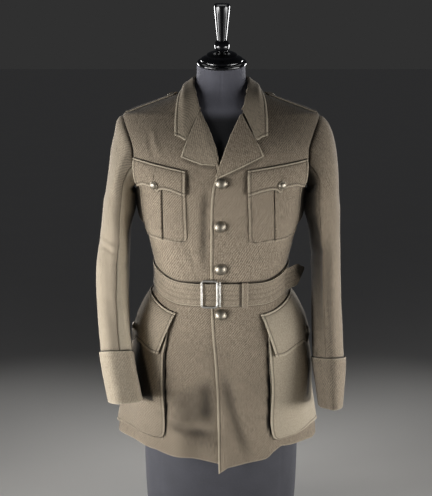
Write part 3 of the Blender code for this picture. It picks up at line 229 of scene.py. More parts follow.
# painted shade, where the fronts lie in shade: as creases, with a share of darkness
SHADES = table_of(7, """
    -.0305 .722 -.034 .58 .0075 .45 .002  -.031 .354 -.027 .258 .0165 .52 0
    -.085 .33 -.055 .26 .036 .36 0  -.075 .235 .01 .225 .02 .25 0  .004 .372 .056 .19 .011 .5 .004
    -.112 .257 -.012 .242 .0095 .36 .006  -.01 .7612 -.042 .7628 .0034 .55 0
    -.04 .7626 -.08 .7768 .0034 .55 0  .002 .739 .083 .7776 .0034 .5 0  .243 .7 .23 .64 .046 .9 0
    -.243 .7 -.23 .64 .046 .9 0  -.067 .752 -.0665 .706 .003 .75 0
    .0485 .752 .049 .706 .0026 .7 0  -.07 .7 -.0655 .632 .0022 .35 0
    .05 .7 .0535 .632 .0022 .35 0
""")
# creases of the sleeves: height and angle round (0 outside, 90 front) of both ends, half-width,
# height of the ridge
ARM_CREASES = {"left": table_of(6, """
    .585 60 .57 200 .008 -.0022  .56 110 .545 240 .008 .0016  .52 20 .5 150 .008 -.0012
    .66 80 .64 200 .01 -.0016  .44 40 .45 160 .009 -.001  .6 230 .62 330 .012 .0014
"""), "right": table_of(6, """
    .612 10 .585 115 .0055 .0026  .598 5 .57 120 .005 -.0026  .555 60 .54 200 .008 -.0014
    .66 80 .64 200 .01 -.0016  .48 40 .47 160 .009 -.0012  .61 230 .62 330 .012 .0014
""")}
# pressed edge of each sleeve: height and angle round (0 outside, 90 front), how far it spreads
# outside and inside, its height; then how far the faces outside and inside it are pressed flat
PRESSED = {
    "left": (((0.26, 89.0), (0.42, 92.0), (0.50, 98.0), (0.66, 98.0)),
             10.0, 10.0, 0.0036, 0.001, 0.0060),
    "right": (((0.26, 150.0), (0.37, 142.0), (0.45, 130.0), (0.56, 118.0), (0.64, 108.0)),
              12.0, 13.0, 0.0034, 0.0060, 0.0010),
}
# distances of the close columns from a sewn edge, and from a plain one
STITCHED = np.array([0.0, 0.25, 0.8, 1.6, 3.2, 4.7, 5.4, 6.0, 6.6, 7.4, 9.4]) / 1000
PLAIN = np.array([0.0, 0.25, 0.8, 1.8, 4.0]) / 1000
STITCH_AT = 7            # the column of STITCHED that the sewing follows
HEAD_ROWS = 30           # rings of each sleeve's head
UP, FLAT = np.array([0.0, 0.0, 1.0]), np.array([1.0, 1.0, 0.0])
SIDES = ((1, "left"), (-1, "right"))
RANGE = ("Value", "From Min", "From Max", "To Min", "To Max")   # inputs of a Map Range node


# --- numbers and curves
def smooth(x):
    """Eases from 0 to 1: 3 x^2 - 2 x^3, held at both ends."""
    x = np.clip(x, 0.0, 1.0)
    return x * x * (3.0 - 2.0 * x)


def bell(x, width, power=2):
    """Falls from 1 on both sides: exp(-(x / width)^power)."""
    return np.exp(-(x / width) ** power)


def between(pair, share):
    """A share of the way from the first of a pair to the second."""
    return pair[0] + (pair[1] - pair[0]) * share


def unit(v):
    """Vectors divided by their lengths."""
    return v / np.maximum(np.linalg.norm(v, axis=-1, keepdims=True), 1e-12)


def run(points, axis=0):
    """Distance along a line of points from its first, or along each line of a grid."""
    steps = np.linalg.norm(np.diff(points, axis=axis), axis=-1)
    return np.pad(np.cumsum(steps, axis=axis),
                  [(1, 0) if a == axis else (0, 0) for a in range(steps.ndim)])


def curve(table, x, column=1):
    """Monotone cubic: h00 y0 + h10 d m0 + h01 y1 + h11 d m1, slopes m by harmonic mean."""
    table = np.asarray(table, float)
    xs, ys = table[:, 0], table[:, column]
    step = np.diff(xs)
    slope = np.diff(ys) / step
    m = np.zeros_like(ys)
    m[0], m[-1] = slope[0], slope[-1]
    w1, w2 = 2 * step[1:] + step[:-1], step[1:] + 2 * step[:-1]
    same = slope[:-1] * slope[1:] > 0
    safe0, safe1 = np.where(same, slope[:-1], 1.0), np.where(same, slope[1:], 1.0)
    m[1:-1] = np.where(same, (w1 + w2) / (w1 / safe0 + w2 / safe1), 0.0)
    x = np.clip(x, xs[0], xs[-1])
    k = np.clip(np.searchsorted(xs, x) - 1, 0, len(xs) - 2)
    t = (x - xs[k]) / step[k]
    return ((1 + 2 * t) * (1 - t) ** 2 * ys[k] + t * (1 - t) ** 2 * step[k] * m[k]
            + t * t * (3 - 2 * t) * ys[k + 1] + t * t * (t - 1) * step[k] * m[k + 1])


def through(grid, at, axis=0):
    """Catmull-Rom through a grid's rows or columns, read at the fractional places given."""
    grid = np.moveaxis(np.asarray(grid, float), axis, 0)
    last = len(grid) - 1
    k = np.clip(np.floor(at).astype(int), 0, last - 1)
    t = (np.asarray(at) - k).reshape((-1,) + (1,) * (grid.ndim - 1))
    a, b, c, d = (grid[np.clip(k + i, 0, last)] for i in (-1, 0, 1, 2))
    out = 0.5 * (2 * b + (c - a) * t + (2 * a - 5 * b + 4 * c - d) * t * t
                 + (3 * b - a - 3 * c + d) * t ** 3)
    return np.moveaxis(out, 0, axis)


def spaced(length, first, last, step):
    """Places from 0 to each length: fixed distances from both ends, even ones between."""
    length = np.atleast_1d(np.asarray(length, float))
    fit = np.minimum(1.0, 0.9 * length / (first[-1] + last[-1]))[:, None]
    count = max(2, int(round((length.max() - first[-1] - last[-1]) / step)))
    share = np.linspace(0.0, 1.0, count + 1)[1:-1]
    a, b = first * fit, length[:, None] - last[::-1] * fit
    return np.concatenate([a, a[:, -1:] + (b[:, :1] - a[:, -1:]) * share, b], axis=1)


def fine_rows(rows, step):
    """Levels between coarse rows, about a step apart, the rows themselves kept."""
    out = [rows[0]]
    for a, b in zip(rows[:-1], rows[1:]):
        out += list(np.linspace(a, b, max(2, int(math.ceil((b - a) / step)) + 1))[1:])
    return np.array(out)


# --- the body surface
def section(theta, half, front, back, square):
    """Superellipse |x/half|^n + |y/depth|^n = 1 with n = square."""
    s, c = np.sin(theta), np.cos(theta)
    x = half * np.sign(s) * np.abs(s) ** (2.0 / square)
    y = -np.where(c > 0, front, back) * np.sign(c) * np.abs(c) ** (2.0 / square)
    return x, y


def body(theta, level):
    """Point of the body surface: the section at a level, dipped at the centre front."""
    theta, level = np.broadcast_arrays(np.asarray(theta, float), np.asarray(level, float))
    half, front, back, square, dip = (curve(BODY, level, c) for c in range(1, 6))
    x, y = section(theta, half, front, back, square)
    away = smooth((np.abs(np.degrees(theta)) - 30.0) / 60.0)
    return np.stack([x, y, level - dip * (1.0 - away)], axis=-1)


def body_normal(theta, level):
    """Cross product of the surface's two directions, by differences of 0.1 mm."""
    step = 1e-4
    across = body(theta + step, level) - body(theta - step, level)
    return unit(np.cross(across, body(theta, level + step) - body(theta, level - step)))


# Distance round by level and angle, and the angles at even shares of it.
TURN = np.radians(np.linspace(0.0, 180.0, 541))
LEVELS = np.linspace(0.13, 0.97, 421)
ROUND = run(body(TURN[None, :], LEVELS[:, None]), axis=1)
SHARES = 720
BACKWARD = np.array([np.interp(np.linspace(0, r[-1], SHARES + 1), r, TURN) for r in ROUND])


def read(table, row, column):
    """Bilinear reading of a table at fractional rows and columns."""
    i = np.clip(np.floor(row).astype(int), 0, table.shape[0] - 2)
    j = np.clip(np.floor(column).astype(int), 0, table.shape[1] - 2)
    u, v = np.clip(row - i, 0, 1), np.clip(column - j, 0, 1)
    return ((1 - u) * ((1 - v) * table[i, j] + v * table[i, j + 1])
            + u * ((1 - v) * table[i + 1, j] + v * table[i + 1, j + 1]))


def at_level(level):
    """Row of a level in the tables of distances."""
    return (np.asarray(level, float) - LEVELS[0]) / (LEVELS[1] - LEVELS[0])


def angle_at(s, level):
    """Angle of the point s round from the centre front, negative to the wearer's right."""
    s, level = np.broadcast_arrays(np.asarray(s, float), np.asarray(level, float))
    total = np.interp(level, LEVELS, ROUND[:, -1])
    return np.copysign(read(BACKWARD, at_level(level), np.abs(s) / total * SHARES), s)


def round_at(degrees, level):
    """Distance round from the centre front of an angle."""
    degrees, level = np.broadcast_arrays(np.asarray(degrees, float), np.asarray(level, float))
    return read(ROUND, at_level(level), degrees * 3.0)


def crease_height(s, level, table=CREASES):
    """Ridges and troughs: height x taper along x exp(-(distance / half)^2) for each line."""
    total = np.zeros(np.broadcast(s, level).shape)
    for s0, z0, s1, z1, half, height, bow in table:
        length = math.hypot(s1 - s0, z1 - z0)
        ax, az = (s1 - s0) / length, (z1 - z0) / length
        t = ((s - s0) * ax + (level - z0) * az) / length
        d = (s - s0) * az - (level - z0) * ax - bow * 4.0 * t * (1.0 - t)
        ends = smooth((t + 0.12) / 0.40) * smooth((1.12 - t) / 0.40)
        total = total + height * ends * bell(d, half)
    return total


def fold_height(s, level):
    """The skirt's folds as in the solids, the finer creases and a slow unevenness."""
    total = crease_height(s, level)
    for side, s0, z0, s1, z1, half, height in FOLDS:
        down = np.clip((z0 - level) / (z0 - z1), 0.0, 1.3)
        middle = s0 + (s1 - s0) * down
        across = (s * side - middle) / (half * (0.55 + 0.45 * np.minimum(down, 1.0)))
        total = total + height * smooth(down) * np.exp(-across * across * 1.5)
    slow = (np.sin(47.0 * s + 13.0 * level + 0.7) * np.sin(31.0 * level - 9.0 * s)
            + 0.6 * np.sin(83.0 * s - 39.0 * level + 2.1) * np.sin(57.0 * level + 21.0 * s + 0.4))
    return total + 0.00035 * slow * smooth((0.90 - level) / 0.05)


def on(s, level, out):
    """Point of the garment: s round, level, and out along the surface's normal."""
    s, level, out = np.broadcast_arrays(*(np.asarray(v, float) for v in (s, level, out)))
    theta = angle_at(s, level)
    return body(theta, level) + body_normal(theta, level) * (out + fold_height(s, level))[..., None]


def lap(s, level):
    """How far the wearer's left front stands out where it overlaps the right."""
    beside = 1.0 - smooth((s - 0.037) / 0.030)
    return LAP_LIFT * beside * (1.0 - smooth((level - 0.775) / 0.060))


def tuck_under(s, level):
    """How far the right front's skirt lies in under the left."""
    return 0.0045 * (1.0 - smooth((s + 0.016) / 0.022)) * smooth((0.470 - level) / 0.080)


def place_xy(x, y):
    """Angle and level of the shoulder's point over a place in plan, by halving 30 times."""
    x, y = np.broadcast_arrays(np.asarray(x, float), np.asarray(y, float))

    def powers(level):
        """Shares of the half-width and of the depth, and the power they are raised to."""
        half, front, back, square = (curve(BODY, level, c) for c in range(1, 5))
        return np.abs(x) / half, np.abs(y) / np.where(y < 0, front, back), square

    low, high = np.full(x.shape, 0.775), np.full(x.shape, 0.935)      # below and above it
    for _ in range(30):
        mid = (low + high) / 2.0
        a, b, square = powers(mid)
        inside = a ** square + b ** square < 1.0
        low, high = np.where(inside, mid, low), np.where(inside, high, mid)
    a, b, square = powers(low)
    theta = np.arctan2(a ** (square / 2), b ** (square / 2))
    return np.copysign(np.where(y > 0, math.pi - theta, theta), x), low


# --- materials
def linear(text):
    """sRGB hex to linear RGBA."""
    value = np.array([int(text[i:i + 2], 16) for i in (1, 3, 5)]) / 255.0
    rgb = np.where(value <= 0.04045, value / 12.92, ((value + 0.055) / 1.055) ** 2.4)
    return tuple(float(v) for v in rgb) + (1.0,)


def tint(key, times=1.0):
    """One of the panel's colours, linear, made brighter or darker."""
    colour = getattr(bpy.context.scene.tunic_finish, key)
    return tuple(v * times for v in colour[:3]) + (1.0,)


def join(tree, node, inputs):
    """Sets a node's inputs from values, or links them from sockets or a node's first output.

    A tuple (operation, a, b) is worked out by a Math node first.
    """
    for key, value in inputs.items():
        if isinstance(value, tuple) and isinstance(value[0], str):
            value = add(tree, "ShaderNodeMath", dict(enumerate(value[1:])), operation=value[0])
        if isinstance(value, bpy.types.Node):
            value = value.outputs[0]
        if isinstance(value, bpy.types.NodeSocket):
            tree.links.new(value, node.inputs[key])
        else:
            node.inputs[key].default_value = value
    return node


def add(tree, kind, inputs=None, **settings):
    """One node with its settings and its inputs."""
    node = tree.nodes.new(kind)
    for key, value in settings.items():
        setattr(node, key, value)
    return join(tree, node, inputs or {})


def new_material(name):
    """A material with its node tree and its surface shader."""
    shade = bpy.data.materials.new(name)
    shade.use_nodes = True
    return shade, shade.node_tree, shade.node_tree.nodes["Principled BSDF"]


def whipcord_material():
    """Wool whipcord: slanting double cords, slubs and flecks, grimy seams and worn rims.

    The cords are 3.8 mm apart, coarser than real ones, so that they show as a twill. Waves,
    sines of the distance across the cords, give their light tops and dark gaps.
    """
    shade, tree, shader = new_material("wool whipcord, khaki drab")
    cut = add(tree, "ShaderNodeUVMap", uv_map="cut")
    mm = add(tree, "ShaderNodeVectorMath", {0: cut, "Scale": 1000.0}, operation="SCALE")
    wander = add(tree, "ShaderNodeTexNoise", {"Vector": mm, "Scale": 0.05, "Detail": 2.0})
    split = add(tree, "ShaderNodeSeparateXYZ", {0: mm})
    # Cords climb at 48 degrees from lower left to upper right; between them runs a finer one.
    climb, pitch = math.radians(48), bpy.context.scene.tunic_finish.cords
    phase = add(tree, "ShaderNodeMath", {
        0: ("ADD", ("MULTIPLY", split.outputs[0], math.sin(climb)),
            ("MULTIPLY", split.outputs[1], -math.cos(climb))),
        1: ("MULTIPLY", wander, 5.0)}, operation="ADD")
    pair, cord = (add(tree, "ShaderNodeMath", {
        0: ("MULTIPLY", ("SINE", ("MULTIPLY", phase, 2 * math.pi / apart)), 0.5), 1: 0.5},
        operation="ADD") for apart in (pitch, pitch / 2))
    along = add(tree, "ShaderNodeMapping", {"Vector": mm, "Scale": (0.50, 0.075, 1.0)})
    slub, fleck, cloud = (add(tree, "ShaderNodeTexNoise", {
        "Vector": vector, "Scale": scale, "Detail": detail, "Roughness": rough})
        for vector, scale, detail, rough in (
            (along, 1.0, 3.0, 0.7), (mm, 0.34, 4.0, 0.8), (mm, 0.014, 3.0, 0.5)))
    patchy, slubs, speck, pit, shadowed, wear_and_highlight = (
        add(tree, "ShaderNodeMapRange", dict(zip(RANGE, row))) for row in (
            (cloud, 0.40, 0.60, 0.36, 1.0), (slub, 0.36, 0.64, 0.0, 0.60),
            (fleck, 0.50, 0.68, 0.0, 0.50), (fleck, 0.48, 0.34, 0.0, 0.45),
            (cloud, 0.35, 0.60, 0.12, 0.0), (fleck, 0.30, 0.60, 0.55, 1.0)))
    ribs = ("SUBTRACT", ("ADD", ("MULTIPLY", pair, 0.82), ("MULTIPLY", cord, 0.28)), 0.55)
    tone = ("ADD", ("ADD", ("MULTIPLY", ribs, patchy), 0.44), slubs)
    tone = add(tree, "ShaderNodeMapRange", dict(zip(RANGE, (tone, 0.0, 1.15, 0.0, 1.0))))
    # rim: lightening for wear and painted light; deep: painted shade of folds, seams and gaps.
    rim, painted_shade = (add(tree, "ShaderNodeAttribute", attribute_name=key).outputs["Fac"]
                  for key in ("rim", "deep"))
    colour = tint("whipcord_deep")
    for factor, key in ((tone, "whipcord"), (speck, "whipcord_worn_and_lit"), (pit, "whipcord_deep"),
                        (shadowed, "whipcord_deep"), (("MULTIPLY", rim, wear_and_highlight), "whipcord_worn_and_lit"),
                        (painted_shade, "whipcord_painted_shade")):
        colour = add(tree, "ShaderNodeMix", {0: factor, 6: colour, 7: tint(key)},
                     data_type="RGBA").outputs[2]
    height = ("ADD", ("ADD", pair, ("MULTIPLY", cord, 0.5)), ("MULTIPLY", fleck, 1.6))
    bump = add(tree, "ShaderNodeBump", {"Height": height, "Strength": 0.7, "Distance": 0.00030})
    join(tree, shader, {"Base Color": colour, "Normal": bump, "Roughness": 0.88,
                        "Sheen Weight": 0.12, "Sheen Roughness": 0.5, "Specular IOR Level": 0.2})
    return shade


def jersey_material():
    """Charcoal cotton jersey: 1.1 mm knit wales by sines, a faint fuzz, slow colour change."""
    shade, tree, shader = new_material("charcoal cotton jersey")
    cut = add(tree, "ShaderNodeUVMap", uv_map="cut")
    mm = add(tree, "ShaderNodeVectorMath", {0: cut, "Scale": 1000.0}, operation="SCALE")
    split = add(tree, "ShaderNodeSeparateXYZ", {0: mm})
    wale, course = (("SINE", ("MULTIPLY", split.outputs[k], 2 * math.pi / apart))
                    for k, apart in ((0, 1.1), (1, 0.9)))
    fuzz = add(tree, "ShaderNodeTexNoise", {"Vector": mm, "Scale": 0.35, "Detail": 4.0})
    cloud = add(tree, "ShaderNodeTexNoise", {"Vector": mm, "Scale": 0.02, "Detail": 2.0})
    # Painted shade: near black where the coat and its collar shade the cover.
    shaded = add(tree, "ShaderNodeAttribute", attribute_name="deep").outputs["Fac"]
    colour = tint("form_cover", 0.55)
    for factor, second in ((fuzz, tint("form_cover")),
                           (("MULTIPLY", cloud, 0.5), tint("form_cover", 1.7)),
                           (("MULTIPLY", shaded, 0.93), linear("#050506"))):
        colour = add(tree, "ShaderNodeMix", {0: factor, 6: colour, 7: second},
                     data_type="RGBA").outputs[2]
    knit = ("ADD", ("MULTIPLY", wale, 0.5), ("MULTIPLY", course, 0.3))
    bump = add(tree, "ShaderNodeBump", {"Height": ("ADD", knit, fuzz), "Strength": 0.4,
                                        "Distance": 0.00015})
    join(tree, shader, {"Base Color": colour, "Normal": bump, "Roughness": 0.8,
                        "Sheen Weight": 0.08})
    return shade


def mottled_material(name, noise, colours, mix=(0.0, 1.0, 0.0, 1.0), rough=0.5, bump=None,
                     **inputs):
    """A hard finish or thread: colour, roughness and bump all follow one noise.

    noise is its scale, detail and roughness; mix is the range that it takes the colour over.
    """
    shade, tree, shader = new_material(name)
    place = add(tree, "ShaderNodeTexCoord").outputs["Object"]
    grain = add(tree, "ShaderNodeTexNoise", dict(zip(
        ("Vector", "Scale", "Detail", "Roughness"), (place,) + noise)))
    factor = add(tree, "ShaderNodeMapRange", dict(zip(RANGE, (grain,) + mix)))
    colour = add(tree, "ShaderNodeMix", {0: factor, 6: colours[0], 7: colours[1]},
                 data_type="RGBA").outputs[2]
    if isinstance(rough, tuple):
        rough = add(tree, "ShaderNodeMapRange", dict(zip(RANGE, (grain, 0.0, 1.0) + rough)))
    join(tree, shader, {"Base Color": colour, "Roughness": rough})
    if bump:
        join(tree, shader, {"Normal": add(tree, "ShaderNodeBump", {
            "Height": grain, "Strength": bump[0], "Distance": bump[1]})})
    join(tree, shader, {key.replace("_", " "): value for key, value in inputs.items()})
    return shade


MAKERS = {
    "whipcord": whipcord_material, "form_cover": jersey_material,
    # linen-and-cotton thread, a twisted ply across each stitch
    "thread": lambda: mottled_material(
        "sewing thread", (420.0, 2.0), (tint("whipcord_deep"), tint("thread")),
        rough=0.7, bump=(0.4, 0.0001)),
    # lacquer on turned wood, with fine dust and swirls in the coat
    "black_lacquer": lambda: mottled_material(
        "gloss black lacquer", (60.0, 5.0), (linear("#060606"), linear("#17171A")),
        rough=(0.06, 0.20), bump=(0.06, 0.0003), Coat_Weight=0.6, Coat_Roughness=0.05),
    # both metals are tarnished in patches, the buttons more finely
    "bronzed_metal": lambda: mottled_material(
        "bronzed button metal", (240.0, 5.0, 0.65), (tint("buttons"), linear("#4A4438")),
        (0.35, 0.65, 0.0, 0.50), (0.36, 0.56), (0.15, 0.0004), Metallic=1.0),
    "nickel": lambda: mottled_material(
        "bright nickel plate", (150.0, 5.0, 0.65), (tint("buckle"), linear("#8E8A82")),
        (0.35, 0.65, 0.0, 0.8), (0.44, 0.62), (0.15, 0.0004), Metallic=1.0),
    "floor": lambda: mottled_material(
        "pale studio floor", (3.0, 3.0), (tint("floor", 0.94), tint("floor")), rough=0.9),
}
MADE = {}


def material(look):
    """The material of a look, made at its first use."""
    if look not in MADE:
        MADE[look] = MAKERS[look]()
    return MADE[look]


# --- mesh making
def make(name, points, faces, look, uv=None, rim=None, node=None, deep=None):
    """A mesh object at the origin that rides on the root, with its slot and its node."""
    mesh = bpy.data.meshes.new(name)
    mesh.from_pydata(np.asarray(points, float).tolist(), [], [list(map(int, f)) for f in faces])
    mesh.polygons.foreach_set("use_smooth", np.ones(len(mesh.polygons), bool))
    if uv is not None:
        corner = np.empty(len(mesh.loops), np.int32)
        mesh.loops.foreach_get("vertex_index", corner)
        layer = mesh.uv_layers.new(name="cut")
        layer.data.foreach_set("uv", np.asarray(uv, np.float32)[corner].ravel())
    # rim lightens the cloth for wear and as painted light; deep darkens it as painted shade.
    for key, value in (("rim", rim), ("deep", deep)):
        if value is not None:
            mesh.attributes.new(key, "FLOAT", "POINT").data.foreach_set(
                "value", np.asarray(value, np.float32).ravel())
    mesh.materials.append(material(look))
    mesh.update()
    obj = bpy.data.objects.new(name, mesh)
    bpy.context.scene.collection.objects.link(obj)
    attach(obj, "root")
    if node:
        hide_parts(*([node] if isinstance(node, str) else node))
    return obj


def quads(rows, cols, ring, start=0, flip=False):
    """Faces of a grid of rows x cols points."""
    i, j = np.meshgrid(np.arange(rows - 1), np.arange(cols if ring else cols - 1), indexing="ij")
    k = (j + 1) % cols
    faces = np.stack([i * cols + j, i * cols + k, (i + 1) * cols + k, (i + 1) * cols + j], axis=-1)
    faces = faces.reshape(-1, 4) + start
    return faces[:, ::-1] if flip else faces


def capped(rows, cols):
    """Faces of a tube whose two ends close on one more point each, after the grid's own."""
    j = np.arange(cols)
    k, top, count = (j + 1) % cols, (rows - 1) * cols, rows * cols
    return (quads(rows, cols, True).tolist() + np.stack([k, j, 0 * j + count], axis=1).tolist()
            + np.stack([top + j, top + k, 0 * j + count + 1], axis=1).tolist())


def grid_normals(points, ring=False):
    """Cross product of the differences across and along a grid."""
    across = (np.roll(points, -1, axis=1) - np.roll(points, 1, axis=1) if ring
              else np.gradient(points, axis=1))
    return unit(np.cross(across, np.gradient(points, axis=0)))


def outward(grid, at, way, ring=False):
    """The grid's normals, turned so that those at a place point the way given."""
    facing = grid_normals(grid, ring)
    return facing * np.sign(np.sum(facing[at] * way))


def from_borders(points):
    """Distance along the grid from its first and last row, first and last column."""
    first, left = run(points, 0), run(points, 1)
    return first, first[-1:] - first, left, left[:, -1:] - left


def beside(distance, kind):
    """Height, wear and darkness of the cloth beside an edge of one kind.

    Turned and sewn (s), rolled (t), a seam (m), a flat seam (n), a fold (.) or none (-). A
    tuple holds two kinds and the share of the second.
    """
    if isinstance(kind, tuple):
        first, second, share = kind
        return [a * (1 - share) + b * share
                for a, b in zip(beside(distance, first), beside(distance, second))]
    none, groove = 0.0 * distance, 0.00050 * bell(distance - 0.0060, 0.0009)
    ridge = smooth((0.0058 - distance) / 0.0020)
    # Rims are lightened for wear and as a painted highlight; seams, grooves and edges get painted
    # shade.
    return {
        "s": (0.00060 * ridge - groove, 0.72 * bell(distance, 0.0036, 4),
              0.62 * bell(distance - 0.0060, 0.0009)),
        "t": (0.00125 * ridge * smooth(distance / 0.0016 + 0.25) - groove,
              0.85 * bell(distance - 0.0032, 0.0022, 4),
              np.maximum(0.55 * bell(distance - 0.0064, 0.0009), 0.95 * bell(distance, 0.0012, 4))),
        "m": (-0.0012 * bell(distance, 0.0030), none, 0.95 * bell(distance, 0.0020)),
        "n": (-0.0004 * bell(distance, 0.0030), none, 0.42 * bell(distance, 0.0010)),
        ".": (none, 0.50 * bell(distance, 0.0022), none), "-": (none, none, none),
    }[kind]


def shell(name, place, thick, kinds, uv, node, ring=False, extra=0.0, deep=0.0, rim_gain=1.0,
          pale=0.0):
    """A closed cloth wall. place(out) gives the grid at a height over its lie.

    kinds holds one entry for the first and last row, first and last column. The wall's
    outer grid is place(thick + relief); each rim is rounded to half the thickness. deep
    darkens the cloth where it lies in a fold or under another piece, pale lightens it.
    """
    bare = place(np.zeros(1))
    distances = from_borders(bare)[:2 if ring else 4]
    relief, rim, dark = (np.zeros(bare.shape[:2]) for _ in range(3))
    for distance, kind in zip(distances, kinds):
        height, wear_and_highlight, depth = beside(distance, kind)
        relief, rim, dark = relief + height, np.maximum(rim, wear_and_highlight), np.maximum(dark, depth)
    relief, dark = relief + extra, np.clip(np.maximum(dark, deep), 0.0, 1.0)
    outer = place(thick + relief)
    normal = grid_normals(outer, ring)
    flip = np.sign(np.sum(normal * (outer - bare)))
    normal = normal * flip
    inner = outer - normal * (thick + np.maximum(relief, -0.4 * thick))[..., None]
    radius = thick * 0.5
    near = np.clip(radius - np.minimum.reduce(distances), 0, radius)
    pull = normal * (radius - np.sqrt(np.maximum(radius ** 2 - near ** 2, 0)))[..., None]
    points = np.concatenate([(outer - pull).reshape(-1, 3), (inner + pull).reshape(-1, 3)])
    rows, cols = bare.shape[:2]
    step, top = rows * cols, (rows - 1) * cols
    j = np.arange(cols if ring else cols - 1)
    k = (j + 1) % cols
    sides = [(j, j + step, k + step, k), (top + j, top + k, top + k + step, top + j + step)]
    if not ring:
        a, b = np.arange(rows - 1) * cols, np.arange(1, rows) * cols
        c, d = a + cols - 1, b + cols - 1
        sides += [(a, b, b + step, a + step), (c, c + step, d + step, d)]
    faces = [quads(rows, cols, ring, 0, flip < 0), quads(rows, cols, ring, step, flip > 0)]
    faces += [np.stack(f, axis=1)[:, ::-1 if flip < 0 else 1] for f in sides]
    # rim lightens worn rims, partly wear and partly painted highlight, plus the painted light of
    # pale; the inner wall gets 0.3 of painted shade.
    rims = np.concatenate([rim.ravel() * rim_gain + pale, np.zeros(rim.size)])
    darks = np.concatenate([dark.ravel(), np.full(rim.size, 0.3)])
    obj = make(name, points, np.concatenate(faces), "whipcord",
               np.concatenate([uv.reshape(-1, 2)] * 2), rims, node, darks)
    return obj, outer, normal


def stitches(name, lines, pitch=None, length=0.0024, radius=0.00026, sink=0.25):
    """Sewn stitches along lines of points with normals, each a small closed capsule.

    A stitch is 4 rings of 5 points about its own piece of the line; its ends dip.
    """
    pitch = pitch or round(bpy.context.scene.tunic_finish.stitches, 6)
    turn = np.linspace(0.0, 2 * math.pi, 5, endpoint=False)
    along_at = np.array([-0.5, -0.28, 0.28, 0.5])
    size, dip = np.array([0.45, 1.0, 1.0, 0.45]), np.array([-0.9, 0.0, 0.0, -0.9])
    all_points = []
    for line, normal in lines:
        far = run(line)
        count = int(far[-1] / pitch)
        if count < 1:
            continue
        middle = (np.arange(count) + 0.5) * far[-1] / count
        at = middle[:, None] + along_at[None, :] * length
        point = np.stack([np.interp(at, far, line[:, c]) for c in range(3)], axis=-1)
        up = unit(np.stack([np.interp(middle, far, normal[:, c]) for c in range(3)], axis=-1))
        way = unit(point[:, -1] - point[:, 0])
        side = unit(np.cross(way, up))
        point = point + up[:, None, :] * (radius * (dip - sink))[None, :, None]
        ring = (np.cos(turn)[None, None, :, None] * side[:, None, None, :]
                + np.sin(turn)[None, None, :, None] * up[:, None, None, :])
        all_points.append((point[:, :, None, :] + ring * (radius * size)[None, :, None, None]
                           ).reshape(count, 20, 3))
    points = np.concatenate(all_points)
    caps = np.array([(0, 1, 2, 3, 4), (19, 18, 17, 16, 15)])
    start = np.arange(len(points))[:, None, None] * 20
    faces = (start + quads(4, 5, True)[None, :, ::-1]).reshape(-1, 4).tolist()
    faces += (start + caps[None]).reshape(-1, 5).tolist()
    return make(name, points.reshape(-1, 3), faces, "thread")


def turned(name, at, axis, profile, sides, look, node):
    """A body turned about an axis: rings of radius r at height h; it ends on the axis."""
    axis = unit(np.asarray(axis, float))
    side = unit(np.cross(axis, (0.0, 0.0, 1.0) if abs(axis[2]) < 0.9 else (1.0, 0.0, 0.0)))
    turn = np.linspace(0.0, 2.0 * math.pi, sides, endpoint=False)
    spokes = np.cos(turn)[:, None] * side + np.sin(turn)[:, None] * np.cross(axis, side)
    profile = np.asarray(profile, float)
    rings = at + profile[:-1, 0, None, None] * spokes + profile[:-1, 1, None, None] * axis
    points = np.concatenate([rings.reshape(-1, 3), [at + profile[0, 1] * axis],
                             [at + profile[-1, 1] * axis]])
    return make(name, points, capped(len(rings), sides), look, node=node)


def piece(node, place, thick, kinds, uv, sewing=None, stitch=None, hides=None, **more):
    """One piece of cloth with its sewing, declared as a sheet with its flat cut."""
    obj, outer, normal = shell(node + "_cloth", place, thick, kinds, uv, hides or node, **more)
    sewn = [stitches(node + "_sewing", sewing(outer, normal), **(stitch or {}))] if sewing else []


def lifted(grid, facing, base=0.0):
    """A piece's place: its grid, out along its own directions."""
    return lambda out: grid + facing * (base + np.broadcast_to(out, grid.shape[:2]))[..., None]


def patch(node, side, s, level, base, kinds, **more):
    """A patch laid on the coat: a pocket, sewn on three sides, or a flap, sewn all round."""
    piece(node, lambda out: on(side * s, level, base + out), PATCH, kinds,
          np.stack([side * s, level], axis=-1), patch_lines(kinds[0] == "t"), **more)


def patch_lines(all_round):
    """Picks the sewing's lines: down both sides, across below and, on a flap, above."""
    def lines(outer, normal):
        """The lines' points with their normals."""
        k, b, e = STITCH_AT, outer.shape[0] - 1 - STITCH_AT, outer.shape[1] - 1 - STITCH_AT
        down, across = slice(k if all_round else 0, b + 1), slice(k, e + 1)
        spans = [(down, k), (down, e), (b, across)] + [(k, across)] * all_round
        return [(outer[span], normal[span]) for span in spans]
    return lines


